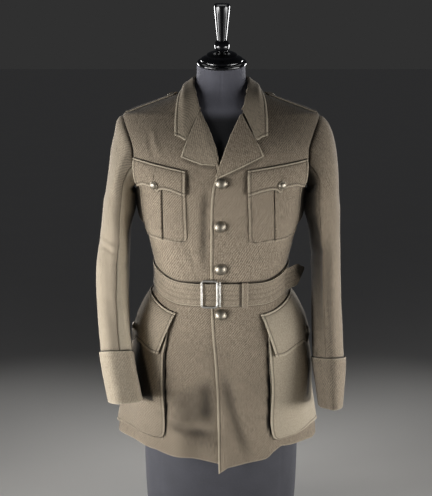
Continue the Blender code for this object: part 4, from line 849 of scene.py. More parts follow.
# --- the form
def build_form():
    """The covered form, rings of superellipses drawn in at its sewn seams, and its turned cap."""
    turn = np.radians(np.linspace(0.0, 360.0, 180, endpoint=False))
    theta = np.where(turn > math.pi, turn - 2 * math.pi, turn)
    rings = []
    for z in fine_rows(FORM_LOW[:, 0], 0.012):
        x, y = section(theta, *(curve(FORM_LOW, z, c) for c in range(1, 5)))
        rings.append(np.stack([x, y, np.full(theta.shape, z)], axis=-1))
    for level in fine_rows(ROWS[16:] + (0.914, 0.922, 0.932, 0.945), 0.006):
        flat = np.full(theta.shape, level)
        rings.append(body(theta, flat) - body_normal(theta, flat) * curve(FORM_GAP, level))
    top = rings[-1].copy()
    top[:, 2] = CAP_AT[2] - 0.0005 + (top[:, 1] - CAP_AT[1]) * math.tan(CAP_TILT)
    for share in (0.25, 0.5, 0.75, 1.0):
        rings.append(between((rings[-1], top), share))
    grid = np.array(rings)
    # Sewn seams of the cover: centre front, centre back and three between on each side.
    normal = outward(grid, 10, grid[10] * FLAT, ring=True)
    degrees = np.degrees(turn)
    for seam in (0.0, 48.0, 92.0, 140.0, 180.0, 220.0, 268.0, 312.0):
        away = np.minimum(np.abs(degrees - seam), 360.0 - np.abs(degrees - seam))
        grid = grid - normal * (0.0007 * bell(away, 1.1))[None, :, None]
    points = np.concatenate([grid.reshape(-1, 3), [grid[0].mean(0)], [grid[-1].mean(0)]])
    uv = np.stack([grid[..., 0] * 0 + theta[None, :] * 0.14, grid[..., 2]], axis=-1)
    uv = np.concatenate([uv.reshape(-1, 2), [[0.0, 0.0]], [[0.0, 1.0]]])
    # Painted shade: the cover is darkest where the coat's collar shades it, and dark under the
    # coat.
    z = points[:, 2]
    inside = smooth((0.872 - z) / 0.024) * smooth((z - 0.600) / 0.020)
    inside = np.maximum(inside, 0.60 * smooth((0.60 - z) / 0.02))
    make("form_cover_skin", points, capped(*grid.shape[:2]), "form_cover", uv, node="form_torso",
         deep=inside)
    axis = (0.0, -math.sin(CAP_TILT), math.cos(CAP_TILT))
    last = len(CAP_PROFILE) - 1
    profile = np.clip(through(CAP_PROFILE, np.linspace(0, last, 6 * last + 1)), 0.0, None)
    turned("neck_cap_turned", np.array(CAP_AT), axis, profile, 96, "black_lacquer", "neck_cap")


# --- the panels
def panel_rows():
    """Levels of the rows: close ones at the hem and beside the belt's edges."""
    rows = fine_rows(ROWS, PATCH_STEP)
    hem = ROWS[0] + STITCHED[1:]
    rows = rows[rows > hem[-1] + 0.002]
    ends = BELT_LEVEL + BELT_HALF * np.array([[-1.0], [1.0]]) + np.array([-1, 0, 1, 2, 3.2]) / 1000
    rows = np.unique(np.round(np.concatenate([rows, ends.ravel()]), 5))
    return np.concatenate([[ROWS[0]], hem, rows])


def belt_shade(level):
    """The cloth is darkest in the narrow gap over and under the belt's edges."""
    return (0.85 * bell(level - BELT_LEVEL - BELT_HALF - 0.0012, 0.0016)
            + 0.5 * bell(level - BELT_LEVEL + BELT_HALF + 0.0008, 0.0014))


def yoke_shade(side, level):
    """The cloth is darker over the shoulders, the wearer's left more, and down the skirt."""
    low = 0.12 * smooth((0.475 - level) / 0.06)
    low = low + (0.06 if side < 0 else -0.10) * smooth((0.33 - level) / 0.06)
    return (0.32 if side < 0 else 0.46) * smooth((level - 0.752) / 0.085) + low


def button_shade(side, s, level):
    """A soft dark mark beside each front button, to the wearer's left."""
    total = 0.0 * s * level
    for at, height, _ in FRONT_BUTTONS:
        across, up = (side * s - at - 0.0125) / 0.0065, (level - height + 0.001) / 0.0085
        total = total + 0.55 * np.exp(-across * across - up * up)
    return total


def pocket_shade(side, s, level):
    """The skirt is black in the narrow gap beside the inner edge of its bellows pocket."""
    away = s - curve(SKIRT["left" if side > 0 else "right"]["inner"], level)
    tall = smooth((level - 0.222) / 0.02) * smooth((0.452 - level) / 0.03)
    wide = 0.0030 + (0.0045 if side > 0 else 0.0015) * smooth((0.42 - level) / 0.12)
    return 0.96 * tall * smooth((away + wide) / 0.0020) * smooth((0.030 - away) / 0.01)


def armhole(table, level):
    """Angle of the armhole's edge at a level."""
    return curve(np.column_stack([ARM_ROWS, table]), level)


def panel_end(row, table):
    """Distance round of a panel's outer end: side seam, armhole, then shoulder seam."""
    plain = round_at(np.where(row < ARM_ROWS[0], SIDE_SEAM, 90.0), row)
    beside_arm = (row >= ARM_ROWS[0]) & (row <= ARM_ROWS[-1])
    return np.where(beside_arm, round_at(armhole(table, row), row), plain)


def build_panels():
    """Each front from its edge to the side, and each back from there to the centre seam."""
    row = panel_rows()
    share = np.clip((HEM_FROM - row) / (HEM_FROM - ROWS[0]), 0.0, 1.0)[:, None]
    middle = np.interp(row, LEVELS, ROUND[:, -1]) - SEAM
    for side, word in SIDES:
        edge, hem = (LEFT_EDGE, LEFT_HEM) if side > 0 else (RIGHT_EDGE, RIGHT_HEM)

        def cut(first, last, columns):
            """The panel's s and level, the hem dropped by its table."""
            s = first[:, None] + spaced(last - first, columns, PLAIN, HEM_STEP)
            return s, row[:, None] - np.interp(s, hem[:, 0], hem[:, 1]) * share

        start = np.where(row <= NECK_LEVEL, curve(edge, row), round_at(curve(NECKLINE, row), row))
        s, level = cut(start, panel_end(row, ARM_FRONT) - SEAM, STITCHED)
        base = lap(s, level) if side > 0 else -tuck_under(s, level)
        # Painted shade on the fronts: the gaps at the belt and pocket, the buttons' shadows, shaded
        # creases, the shoulders and the skirt.
        dark = belt_shade(level) + pocket_shade(side, s, level) + button_shade(side, s, level)
        dark = np.maximum(dark, crease_height(side * s, level, SHADES)) + yoke_shade(side, level)
        sewn = row < 0.745           # the front edge is sewn up to the lapel
        piece("front_" + word, lambda out: on(side * s, level, base + out), CLOTH, "..sm",
              np.stack([side * s, level], axis=-1),
              (lambda outer, normal: [(outer[sewn, STITCH_AT], normal[sewn, STITCH_AT])])
              if side > 0 else None, deep=dark)
        s, level = cut(panel_end(row, ARM_BACK) + SEAM, middle, PLAIN)
        # Painted shade on the backs: at the belt's edges, over the shoulders and down the skirt.
        piece("back_" + word, lambda out: on(side * s, level, out), CLOTH, "..mn",
              np.stack([side * s, level], axis=-1),
              deep=belt_shade(level) + yoke_shade(side, level))


# --- the sleeves
def arm_points(side):
    """The armhole's points with the surface normal and the way into the hole."""
    levels = fine_rows(ARM_ROWS, 0.0042)
    front, back = armhole(ARM_FRONT, levels), armhole(ARM_BACK, levels)[1:-1][::-1]
    theta = side * np.radians(np.concatenate([front, back]))
    level = np.concatenate([levels, levels[1:-1][::-1]])
    points, normal = body(theta, level), body_normal(theta, level)
    along = unit(np.roll(points, -1, axis=0) - np.roll(points, 1, axis=0))
    into = np.cross(normal, along)
    into *= np.sign(np.sum(into * (points.mean(0) - points), axis=1, keepdims=True))
    return points, normal, unit(into), level


def sleeve_rings(side, table, z, turn, extra):
    """Ellipses at the heights z, tilted part of the way square to the sleeve's line."""
    order = table[::-1]
    up, down = (np.clip(z + step, order[0, 0], order[-1, 0]) for step in (0.01, -0.01))
    x, y, half, depth = (curve(order, z, c) for c in range(1, 5))
    lean, tilt = ((curve(order, up, c) - curve(order, down, c)) / (up - down) for c in (1, 2))
    zero = np.zeros_like(z)
    across = unit(np.stack([zero + 1.0, zero, -RING_LEAN * lean], axis=-1))
    forward = unit(np.stack([zero, zero - 1.0, RING_TILT * tilt], axis=-1))
    extra = np.broadcast_to(extra, (len(z), len(turn)))[..., None]
    ring = (np.stack([x, y, z], axis=-1)[:, None]
            + np.cos(turn)[None, :, None] * across[:, None] * (half[:, None, None] + extra)
            + np.sin(turn)[None, :, None] * forward[:, None] * (depth[:, None, None] + extra))
    ring[..., 0] *= side
    return ring


def arm_relief(word, turn, z):
    """Creases of the sleeve: each runs round from one angle to another as it changes height."""
    degrees = np.degrees(turn)[None, :] % 360.0
    a, z = np.radians(degrees), z[:, None]
    total = 0.0004 * np.sin(58.0 * z + 2.3 * a) * np.sin(3.0 * a + 21.0 * z)
    for z0, t0, z1, t1, half, height in ARM_CREASES[word]:
        t = (degrees - t0) / (t1 - t0)
        ends = smooth((t + 0.1) / 0.5) * smooth((1.1 - t) / 0.5)
        total = total + height * ends * bell(z - z0 - (z1 - z0) * t, half)
    return total


def pressed(word, turn, z):
    """The sleeve's pressed edge below the elbow, moving round with height, between flat faces."""
    rows, outside, inside, height, outer, inner = PRESSED[word]
    z = np.asarray(z, float)[:, None]
    degrees = np.degrees(turn)[None, :] % 360.0
    away = (degrees - curve(rows, z) + 180.0) % 360.0 - 180.0
    ridge = height * np.where(away < 0, np.exp(away / outside), np.exp(-away / inside))
    flat = outer * bell(away + 42.0, 28.0) + inner * bell(away - 36.0, 22.0)
    behind = np.exp(-np.abs((degrees - 275.0 + 180.0) % 360.0 - 180.0) / outside)
    return smooth((0.660 - z) / 0.080) * (ridge - flat + 0.5 * height * behind)


def sleeve_head(side, word, points, normal, into, turn):
    """Rings from the armhole to the sleeve: cubic curves with a given way at both ends."""
    centre, table = points.mean(0), SLEEVES[word]
    lift = np.arctan2(points[:, 2] - centre[2], -(points[:, 1] - centre[1]))
    slope = np.radians(np.interp(np.sin(lift), (-1.0, -0.4, 0.3, 1.0),
                                 (90.0, 66.0, 52.0, 58.0)))[:, None]
    start = points + into * (0.0005 + CLOTH * np.sin(slope))
    head = np.cos(slope) * into + np.sin(slope) * normal
    first = sleeve_rings(side, table, table[:1, 0], turn, 0.0)[0]
    span = np.linalg.norm(first - start, axis=1, keepdims=True)
    v = np.linspace(0.0, 1.0, HEAD_ROWS)[:, None, None]
    a, b = 2 * v ** 3 - 3 * v ** 2 + 1, v ** 3 - 2 * v ** 2 + v
    c, d = -2 * v ** 3 + 3 * v ** 2, v ** 3 - v ** 2
    return a * start + b * head * span * SLEEVE_HEAD[word] + c * first - d * UP * span


def sleeve(side, word):
    """Top and under sleeve: creases, the pressed edge and its shade on the rings' outsides."""
    points, normal, into, level = arm_points(side)
    centre = points.mean(0)
    turn = math.pi / 2 - np.arctan2(points[:, 2] - centre[2], -(points[:, 1] - centre[1]))
    cap = sleeve_head(side, word, points, normal, into, turn)
    cuff_top, end = CUFF_ROWS[word][-1][0], SLEEVE_END[word]
    fold = cuff_top + np.array([4.0, 2.4, 1.0, 0.0, -1.4]) / 1000
    z = np.linspace(0.700, end + 0.004, 118)[1:]
    z = np.sort(np.concatenate([z[np.abs(z - fold[2]) > 0.0045], fold, end + PLAIN[:-1]]))[::-1]
    fine = np.concatenate([cap, sleeve_rings(side, SLEEVES[word], z, turn, 0.0)])
    facing = outward(fine, -5, fine[-5] - fine[-5].mean(0), ring=True)
    heights = np.concatenate([np.linspace(0.80, 0.700, HEAD_ROWS), z])
    index = np.arange(len(fine))
    crease = (arm_relief(word, turn, heights)
              + pressed(word, turn, heights)) * smooth((index - 6) / 20.0)[:, None]
    # The under sleeve is full and in shade where it hangs against the coat's side.
    degrees = np.degrees(turn)[None, :] % 360.0
    edge_at = curve(PRESSED[word][0], heights)[:, None]
    inwards = smooth((178.0 - 20.0 * (side < 0) - edge_at - np.abs(degrees - 180.0)) / 26.0)
    full = (smooth((0.745 - heights) / 0.035) * smooth((heights - 0.615) / 0.060))[:, None]
    crease = crease + 0.0100 * full * inwards
    if side < 0:             # this sleeve's head is slimmer outside
        slim = smooth((index - 3) / 8.0) * smooth((34 - index) / 14.0)
        crease = crease - 0.0065 * slim[:, None] * smooth(np.cos(turn) * 1.4)[None, :]
    # Painted shade on the inner side, where the under sleeve hangs against the coat.
    gloom = 0.93 * inwards * smooth((heights - 0.30) / 0.30)[:, None] ** 0.5
    # Painted shade: the wearer's left sleeve is darker from its pressed edge inwards.
    front = 0.46 * (side > 0) * smooth((degrees - 62.0) / 30.0) * smooth((230.0 - degrees) / 40.0)
    gloom = np.maximum(gloom, front * smooth((0.66 - heights) / 0.12)[:, None])
    # Painted shadow just over the cuff's top edge.
    shade = 0.95 * bell(heights - cuff_top - 0.0006, 0.0022)[:, None] * (heights[:, None] < 0.5)
    shade = np.maximum(shade, gloom)
    # Seams down the front and the back part the top sleeve from the under sleeve.
    half, count = len(level) // 2, len(turn)
    last = int(np.argmin(np.abs(level[:half] - 0.760)))
    first_under = half + int(np.argmin(np.abs(level[half:] - 0.790)))
    along = run(fine.mean(1))
    seam = ("n", "-", 0.85 if side < 0 else 0.40)
    for part, columns in (("top", np.arange(last, first_under + 1)),
                          ("under", np.arange(first_under, last + count + 1) % count)):
        # more columns beside the seams, so that they read as seams
        at = np.concatenate([[0, 0.05, 0.2, 0.45], np.arange(1, len(columns) - 1),
                             len(columns) - 1 - np.array([0.45, 0.2, 0.05, 0])])
        sub, face, bump, dark = (through(g[:, columns], at, axis=1) for g in (
            fine, facing, crease[..., None], shade[..., None]))
        for edge, inner in ((0, 1), (-1, -2)):
            sub[:, edge] += SEAM * unit(sub[:, inner] - sub[:, edge])
        width = from_borders(sub)[2]
        node = f"sleeve_{part}_{word}"
        # Painted light lightens the wearer's right sleeve, the under sleeve most.
        piece(node, lifted(sub, unit(face), bump[..., 0]), CLOTH, ("m", ".", seam, seam),
              np.stack([side * (width - width[:, -1:] / 2), -along[:, None] + 0 * width], axis=-1),
              hides=[node] + [f"sleeve_forearm_{word}"] * (part == "under"),
              deep=np.clip(dark[..., 0], 0.0, 1.0),
              pale=(1.0 if part == "under" else 0.30) * (side < 0))
    return turn, front


def build_sleeves():
    """Both sleeves, each with its turned-back cuff, free at its upper edge."""
    for side, word in SIDES:
        turn, front = sleeve(side, word)
        spec = np.array(CUFF_ROWS[word])
        low, high = spec[0, 0], spec[-1, 0]
        z = low + spaced(high - low, PLAIN, STITCHED, PATCH_STEP)[0]
        ripple = (0.0006 * np.sin(3 * turn + 1.0)[None, :]
                  * smooth((z - low) / (high - low))[:, None])
        gap, press = curve(spec, z)[:, None], pressed(word, turn, z)

        def cuff_at(out):
            """The cuff's rings at a height over its lie."""
            extra = CLOTH + gap - 0.0012 + np.broadcast_to(out, ripple.shape) + (ripple + press)
            return sleeve_rings(side, SLEEVES[word], z, turn, extra)

        around = run(cuff_at(np.zeros(1))[0])
        uv = np.stack(np.broadcast_arrays(side * around, z[:, None]), axis=-1)
        # Painted shade on the front of the wearer's left cuff, painted light on the right cuff.
        piece("cuff_" + word, cuff_at, CLOTH, "..", uv, ring=True, deep=front + 0.0 * ripple,
              pale=0.36 * (side < 0))


# --- lapels and collar
def lapel(side, word):
    """Rows from the roll line to the outer edge, raised where the cloth turns over."""
    table = LAPELS[word]
    at = np.concatenate([np.linspace(0, 2, 34), np.linspace(2, 5, 44)[1:]])
    rows = np.stack([np.interp(at, np.arange(6), table[:, c]) for c in range(4)], axis=1)
    if side < 0:         # its hidden end runs on under the leaf up to the roll line
        rows[-9:, 0] += np.linspace(0.0, 0.0066, 9)
        rows[-9:, 1] += np.linspace(0.0, 0.0145, 9)
    ds, dl = rows[:, 2] - rows[:, 0], rows[:, 3] - rows[:, 1]
    width = np.hypot(ds, dl)
    # Perpendicular distances from the outer edge, measured along the slanting rows.
    edge = np.gradient(rows[:, 2:4], axis=0)
    slant = np.abs(ds * edge[:, 1] - dl * edge[:, 0]) / np.maximum(
        width * np.hypot(edge[:, 0], edge[:, 1]), 1e-9)
    near = STITCHED[None, :] / np.clip(slant, 0.45, 1.0)[:, None]
    near = near * np.minimum(1.0, 0.8 * width / near[:, -1])[:, None]
    inner = np.linspace(0.0, 1.0, 26)[None, :] * (width[:, None] - near[:, -1:])
    part = np.concatenate([inner[:, :-1], width[:, None] - near[:, ::-1]], axis=1) / width[:, None]
    s, level = rows[:, :1] + ds[:, None] * part, rows[:, 1:2] + dl[:, None] * part
    # Three columns round the roll in the place of the first.
    s, level, part = (np.concatenate([g[:, :1] + shift for shift in shifts] + [g[:, 1:]], axis=1)
                      for g, shifts in ((s, (-0.0026, -0.0021, 0.0008)), (level, (0.0,) * 3),
                                        (part, (-0.03, 0.0, 0.03))))
    rise = np.interp(part, (-0.03, 0.0, 0.03, 0.12, 0.25, 0.5, 1.0),
                     (0.0006, 0.0021, 0.0031, 0.0040, 0.0038, 0.0032, 0.0028))
    base = rise * (0.25 + 0.75 * smooth(at / 0.5))[:, None]
    base = base + (lap(s, level) if side > 0 else 0.0)
    sewn = (slice(3, -2), s.shape[1] - 1 - STITCH_AT)
    # Its rims are lightened more, for wear and as a painted highlight; the right lapel gets painted
    # light.
    piece("lapel_" + word, lambda out: on(side * s, level, base + out), PATCH, "n..s",
          np.stack([side * s * 0.6 + level * 0.8, level * 0.6 - side * s * 0.8], axis=-1),
          lambda outer, normal: [(outer[sewn], normal[sewn])], rim_gain=1.3,
          pale=0.14 * (side < 0))


def build_collar():
    """Lapels, the collar's upright stand and its leaf, folded over from back to front."""
    for side, word in SIDES:
        lapel(side, word)
    at, index = np.linspace(0.0, len(COLLAR) - 1, 84), np.arange(len(COLLAR))
    half = np.stack([curve(np.column_stack([index, COLLAR[:, c]]), at)
                     for c in range(COLLAR.shape[1])], axis=1)
    other = half[:-1][::-1].copy()
    other[:, 0] = 360.0 - other[:, 0]
    other[:, [3, 6]] *= -1.0
    rows = np.concatenate([half, other])
    theta = np.radians(np.where(rows[:, 0] > 180.0, rows[:, 0] - 360.0, rows[:, 0]))
    seam, fold = rows[:, 1], rows[:, 2]
    level = seam + 0.0006 + (fold - seam - 0.0012) * np.linspace(0.0, 1.0, 9)[:, None]
    turn_at = np.broadcast_to(theta, level.shape)
    point, normal = body(turn_at, level), body_normal(turn_at, level)
    piece("collar_stand", lifted(point, normal, 0.0004), PATCH, "mm..",
          np.stack([np.broadcast_to(run(point[0]), level.shape), level], axis=-1))
    point, normal = body(theta, fold), body_normal(theta, fold)
    first, second = point + normal * 0.0010 + UP * 0.0012, point + normal * 0.0038 + UP * 0.0024
    edge, mid = (body(*place) + body_normal(*place) * rows[:, c + 2:c + 3]
                 for c in (3, 6) for place in [place_xy(rows[:, c], rows[:, c + 1])])
    coarse = np.stack([first, second, (second + mid) / 2, mid, (mid + edge) / 2, edge], axis=1)
    # Straight lines between these, rounded a little, then dense near the outer edge.
    fine = through(coarse, np.linspace(0, 5, 61), axis=1)
    far = run(fine, axis=1)
    wanted = spaced(far[:, -1], PLAIN, STITCHED, 0.0030)
    grid = np.stack([np.stack([np.interp(w, f, g[:, c]) for w, f, g in zip(wanted, far, fine)])
                     for c in range(3)], axis=-1)
    # Dense rows beside the two short ends.
    span = run(grid[:, -1])
    places = np.interp(spaced(span[-1], STITCHED, STITCHED, 0.0035)[0], span, np.arange(len(span)))
    grid = through(grid, places)
    far = from_borders(grid)
    gorge = ("s", "n", smooth((far[3] - 0.026) / 0.004))
    a, b, k = STITCH_AT, grid.shape[0] - 1 - STITCH_AT, grid.shape[1] - 1 - STITCH_AT
    spans = ((slice(a, b + 1), k), (a, slice(4, k + 1)), (b, slice(4, k + 1)))
    # Its rims are lightened for wear and as a painted highlight, and the whole leaf gets painted
    # light.
    piece("collar_fall", lifted(grid, outward(grid, slice(None), UP), -PATCH / 2), PATCH,
          (gorge, gorge, ".", "s"), np.stack([far[0][:, -1:] + 0 * far[2], far[3]], axis=-1),
          lambda outer, normal: [(outer[span], normal[span]) for span in spans],
          rim_gain=1.1, pale=0.24)


# --- pockets and flaps
def beside_cuff(side, point):
    """The pocket is black where the hanging cuff shades it, ahead of the arm."""
    x, y, z = np.abs(point[..., 0]), point[..., 1], point[..., 2]
    edge = 0.133 + 0.26 * np.clip(z - 0.28, 0.0, 0.2) if side < 0 else 0.176
    tall = smooth((z - 0.274) / 0.008) * smooth(((0.420 if side < 0 else 0.385) - z) / 0.03)
    return 0.94 * smooth((x - edge) / 0.006) * tall * smooth((-0.040 - y) / 0.02)


def round_corner(distance, radius):
    """How far a side steps in beside a rounded corner, by distance from the pocket's end."""
    gap = np.clip(radius - distance, 0.0, radius)
    return radius - np.sqrt(radius ** 2 - gap ** 2)


def under_flap(spec, s, level):
    """How dark the pocket is just below the breast flap's three-point edge."""
    share = np.clip((s - spec["flap"][0]) / (spec["flap"][1] - spec["flap"][0]), 0.0, 1.0)
    gap = (between(spec["flap_top"], share) - level
           - np.interp(share, BREAST_SCALLOP[:, 0], BREAST_SCALLOP[:, 1]))
    return 0.75 * smooth((gap + 0.003) / 0.002) * smooth((0.0034 - gap) / 0.0026)


def scallop(table, share):
    """A flap's three-point edge, half as pointed as the table's straight lines."""
    return 0.5 * np.interp(share, table[:, 0], table[:, 1]) + 0.5 * curve(table, share)


def breast_pocket(side, word):
    """The pocket with its box pleat, whose inner fold gapes beside a dark slit."""
    spec = BREAST[word]
    level_top, level_low = spec["levels"]
    down = spaced(level_top - level_low, PLAIN, STITCHED, PATCH_STEP)[0]
    rows = down / (level_top - level_low)
    corner = round_corner(level_top - level_low - down, 0.010)
    start = between((spec["top"][0], spec["low"][0]), rows) + corner
    stop = between((spec["top"][1], spec["low"][1]), rows) - corner
    middle, half = between(spec["pleat"], rows), spec["half"]
    # Columns: stitched edges, and close ones at both folds of the pleat.
    fold = np.array([-3.8, -3.0, -2.5, -1.6, -0.6, -0.1, 0.4, 1.1, 2.4]) / 1000
    left, right = (middle - half)[:, None], (middle + half)[:, None]
    parts = [start[:, None] + STITCHED]
    for places, count in ((left + fold, 5), (right - fold[::-1], 8),
                          (stop[:, None] - STITCHED[::-1], 5)):
        last = parts[-1][:, -1:]
        parts += [last + (places[:, :1] - last) * np.linspace(0, 1, count)[1:-1], places]
    s = np.concatenate(parts, axis=1)
    level = np.broadcast_to((level_top - down)[:, None], s.shape)
    pleat = smooth((s - left + 0.0001) / 0.0005) * smooth((right - s + 0.0004) / 0.0010)
    slit = smooth((left - 0.0001 - s) / 0.0005) * smooth((s - left + 0.0025) / 0.0005)
    lip, groove = bell(s - left - 0.0015, 0.0030) * pleat, bell(s - right - 0.0009, 0.0006)
    across = np.clip((s - start[:, None]) / (stop - start)[:, None], 0, 1)
    base = CLOTH + LAY + 0.0006 * np.sin(math.pi * across) + (lap(s, level) if side > 0 else 0.0)
    gape = smooth(down / 0.012)[:, None] * smooth((level_top - level_low - down) / 0.006)[:, None]
    # Painted shade in the slit, beside the pleat's outer fold and under the flap's edge.
    patch("breast_pocket_" + word, side, s, level, base, ".sss", rim_gain=0.38,
          extra=0.0024 * pleat + (0.0010 * lip - 0.0008 * slit) * gape - 0.0004 * groove,
          deep=np.maximum(np.maximum(slit * gape, 0.25 * groove), under_flap(spec, s, level)))


def breast_flap(side, word):
    """The flap: a three-point lower edge; its columns run straight down."""
    spec = BREAST[word]
    start, stop = spec["flap"]
    s1 = start + spaced(stop - start, STITCHED, STITCHED, 0.0022)[0]
    share = (s1 - start) / (stop - start)
    depth = scallop(BREAST_SCALLOP, share)
    down = spaced(depth, STITCHED, STITCHED, PATCH_STEP).T
    s, level = np.broadcast_to(s1, down.shape), between(spec["flap_top"], share)[None, :] - down
    rise = np.interp(down / depth, (0.0, 0.04, 0.22, 0.6, 1.0),
                     (0.0002, 0.0022, 0.0047, 0.0057, 0.0060))
    at, hole_level = spec["button"][0], spec["button"][1] + SMALL_BUTTON_R + 0.0055
    hole = np.hypot((s - at) / 0.0009, (level - hole_level) / 0.0052)
    patch("breast_flap_" + word, side, s, level,
          CLOTH + rise + (lap(s, level) if side > 0 else 0.0), "tsss",
          extra=-0.0005 * bell(hole, 1.0, 4), rim_gain=0.8)
    rise = CLOTH + 0.0057 + PATCH + (float(lap(at, hole_level)) if side > 0 else 0.0)
    buttonhole(f"breast_flap_{word}_buttonhole", side, at, hole_level, rise, 0.0050)


def buttonhole(name, side, s, level, out, half):
    """A worked slit: two close columns of small stitches beside a narrow gap."""
    steps = np.linspace(-half, half, 15)
    lines = [(on(side * (s + shift) + 0 * steps, level + steps, out + 0.0002),
              body_normal(angle_at(side * s + 0 * steps, level + steps), level + steps))
             for shift in (-0.0007, 0.0007)]
    return stitches(name, lines, pitch=0.0008, length=0.0009, radius=0.00032, sink=0.0)


def stand_off(share, drop):
    """How far the bellows pocket stands off: more towards the side, least at both ends."""
    deep = 0.0075 + (POCKET_STANDOFF - 0.0075) * smooth(share * 1.25)
    deep = deep * (1.0 - 0.84 * smooth((drop - 0.50) / 0.50))
    return 0.0030 + (deep - 0.0030) * smooth(drop * 2.4)


def flap_rise(share, down):
    """How far the skirt flap rises over its pocket, by share across and share down."""
    inner, outer = (np.interp(down, (0.0, 0.12, 0.30, 0.60, 1.0), rise) for rise in (
        (0.0006, 0.0050, 0.0075, 0.0112, 0.0135), (0.0014, 0.0068, 0.0110, 0.0180, 0.0232)))
    return between((inner, outer), smooth(share * 1.25))


def skirt_pocket(side, word):
    """The bellows pocket: its belly is a half sine across and it sags by slow waves."""
    spec = SKIRT[word]
    high, low_in, low_out = spec["levels"]
    tall = high - low_in
    drop = spaced(tall, PLAIN, STITCHED, HEM_STEP)[0] / tall
    inner = curve(spec["inner"], between((high, low_in), drop))
    inner = inner + round_corner(tall * (1.0 - drop), 0.014)
    wide = spec["outer"] - inner
    across = spaced(wide, STITCHED, STITCHED, HEM_STEP)
    share, s = across / wide[:, None], inner[:, None] + across
    drop = drop[:, None]
    level = between((high, between((low_in, low_out), share)), drop)
    belly = 0.0030 * np.sin(math.pi * share) * smooth(drop * 1.6)
    sag = 0.0010 * np.sin(2.2 * math.pi * share + 0.5) * np.sin(3.0 * math.pi * drop + 0.8)
    for x in (share, drop):
        sag = sag * smooth(np.minimum(x, 1 - x) * 8)
    base = CLOTH + LAY + stand_off(share, drop) + belly
    # Painted shade where the cuff shades the pocket and, on the right pocket, towards the bottom;
    # painted light over the whole pocket, most on the left one.
    patch("skirt_pocket_" + word, side, s, level, base, ".sss", extra=sag, rim_gain=0.4,
          deep=np.maximum(beside_cuff(side, on(side * s, level, base)),
                          0.26 * (side < 0) * smooth((0.335 - level) / 0.05)),
          pale=0.64 if side > 0 else 0.12)


def skirt_gusset(side, word):
    """The bellows strip round three sides of the pocket, folded once along its middle."""
    spec = SKIRT[word]
    high, low_in, low_out = spec["levels"]
    drop, inset = np.linspace(0.0, 1.0, 50), 0.0008
    inner = curve(spec["inner"], between((high, low_in), drop))
    side_in = (inner + inset, between((high, low_in), drop), 0 * drop, drop)
    bottom = (between((inner[-1], spec["outer"]), drop) + inset * (1 - 2 * drop),
              between((low_in, low_out), drop) + inset, drop, 0 * drop + 1.0)
    side_out = (0 * drop + spec["outer"] - inset, between((high, low_out), drop),
                0 * drop + 1.0, drop)
    side_in, bottom, side_out = (np.stack(g, axis=1) for g in (side_in, bottom, side_out))
    path = np.concatenate([side_in[:-1], bottom, side_out[:-1][::-1]])
    belly = 0.0030 * np.sin(math.pi * path[:, 2]) * smooth(path[:, 3] * 1.6)
    reach = CLOTH + LAY + stand_off(path[:, 2], path[:, 3]) + belly - 0.0005
    foot = CLOTH + LAY + 0.0005
    tuck = np.zeros((len(path), 2))
    tuck[:50, 0], tuck[-50:, 0], tuck[49:-49, 1] = 1.0, -1.0, 1.0
    v = np.linspace(0.0, 1.0, 9)[:, None]
    height = foot + (reach - foot) * v
    pinch = np.minimum(0.35 * np.sin(math.pi * v) * (reach - foot), 0.0045)

    def strip(out):
        """The strip's points: pinched inwards along its middle, and out by its thickness."""
        inwards = (PATCH - np.broadcast_to(out, height.shape) + pinch)[..., None] * tuck
        return on(side * (path[:, 0] + inwards[..., 0]), path[:, 1] + inwards[..., 1], height)

    length = run(strip(np.zeros(1))[0])
    # Painted shade along the strip's fold.
    piece("skirt_gusset_" + word, strip, PATCH, "....",
          np.stack([np.broadcast_to(length, height.shape), height], axis=-1),
          deep=0.93 * np.sin(math.pi * v ** 0.6) + 0.0 * height)


def skirt_flap(side, word):
    """The flap over the pocket, its lower edge in three shallow points."""
    spec = SKIRT[word]
    wide = spec["flap_out"][0] - spec["flap_in"][0]
    share = spaced(wide, STITCHED, STITCHED, 0.0030)[0] / wide
    top, end = between(spec["flap_top"], share), scallop(SKIRT_SCALLOP, share)
    down = (spaced(top - end, STITCHED, STITCHED, HEM_STEP) / (top - end)[:, None]).T
    level = between((top, end), down)
    first, last = (between(spec[key], down ** 0.9) for key in ("flap_in", "flap_out"))
    curl = 0.0012 * smooth((down - 0.7) / 0.3) * np.sin(2 * math.pi * share + 0.6)
    # Painted light over the flap, most on the left one.
    patch("skirt_flap_" + word, side, between((first, last), share), level,
          CLOTH + flap_rise(share, down), "tsss", extra=np.maximum(curl, 0.0), rim_gain=0.5,
          pale=0.62 if side > 0 else 0.20)
    at, button_level = spec["button"]
    rise = float(flap_rise((at - first[0, 0]) / (last[0, 0] - first[0, 0]), 0.66))
    buttonhole(f"skirt_flap_{word}_buttonhole", side, at, button_level + SMALL_BUTTON_R + 0.0070,
               CLOTH + rise + PATCH + 0.0006, 0.0055)


def build_pockets():
    """Breast and skirt pockets with their flaps, on both sides."""
    for side, word in SIDES:
        for build in (breast_pocket, breast_flap, skirt_pocket, skirt_gusset, skirt_flap):
            build(side, word)


# --- straps, belt and trims
def build_straps():
    """A strap along each shoulder, narrower towards the neck and slightly domed across."""
    for side, word in SIDES:
        x = 0.1945 - spaced(0.1055, PLAIN, STITCHED, 0.0035)[0]
        half = np.interp(x, (0.089, 0.096, 0.105, 0.1945), (0.010, 0.0165, 0.0180, STRAP_HALF))
        y = spaced(2 * half, STITCHED, STITCHED, 0.003) - half[:, None]
        x = side * np.broadcast_to(x[:, None], y.shape)
        place = place_xy(x, y)
        crown = 0.0006 * (1.0 - (y / half[:, None]) ** 2)
        piece("shoulder_strap_" + word,
              lifted(body(*place), body_normal(*place), CLOTH + STRAP_OUT + crown), STRAP_WALL,
              ".sss", np.stack([y, x], axis=-1), patch_lines(False))


def frame_at(s, out):
    """Point, tangent, up and outward directions on the belt."""
    theta = angle_at(s, BELT_LEVEL)
    normal = unit(body_normal(theta, BELT_LEVEL).reshape(3) * FLAT)
    return body(theta, BELT_LEVEL).reshape(3) + normal * out, np.cross(UP, normal), UP, normal


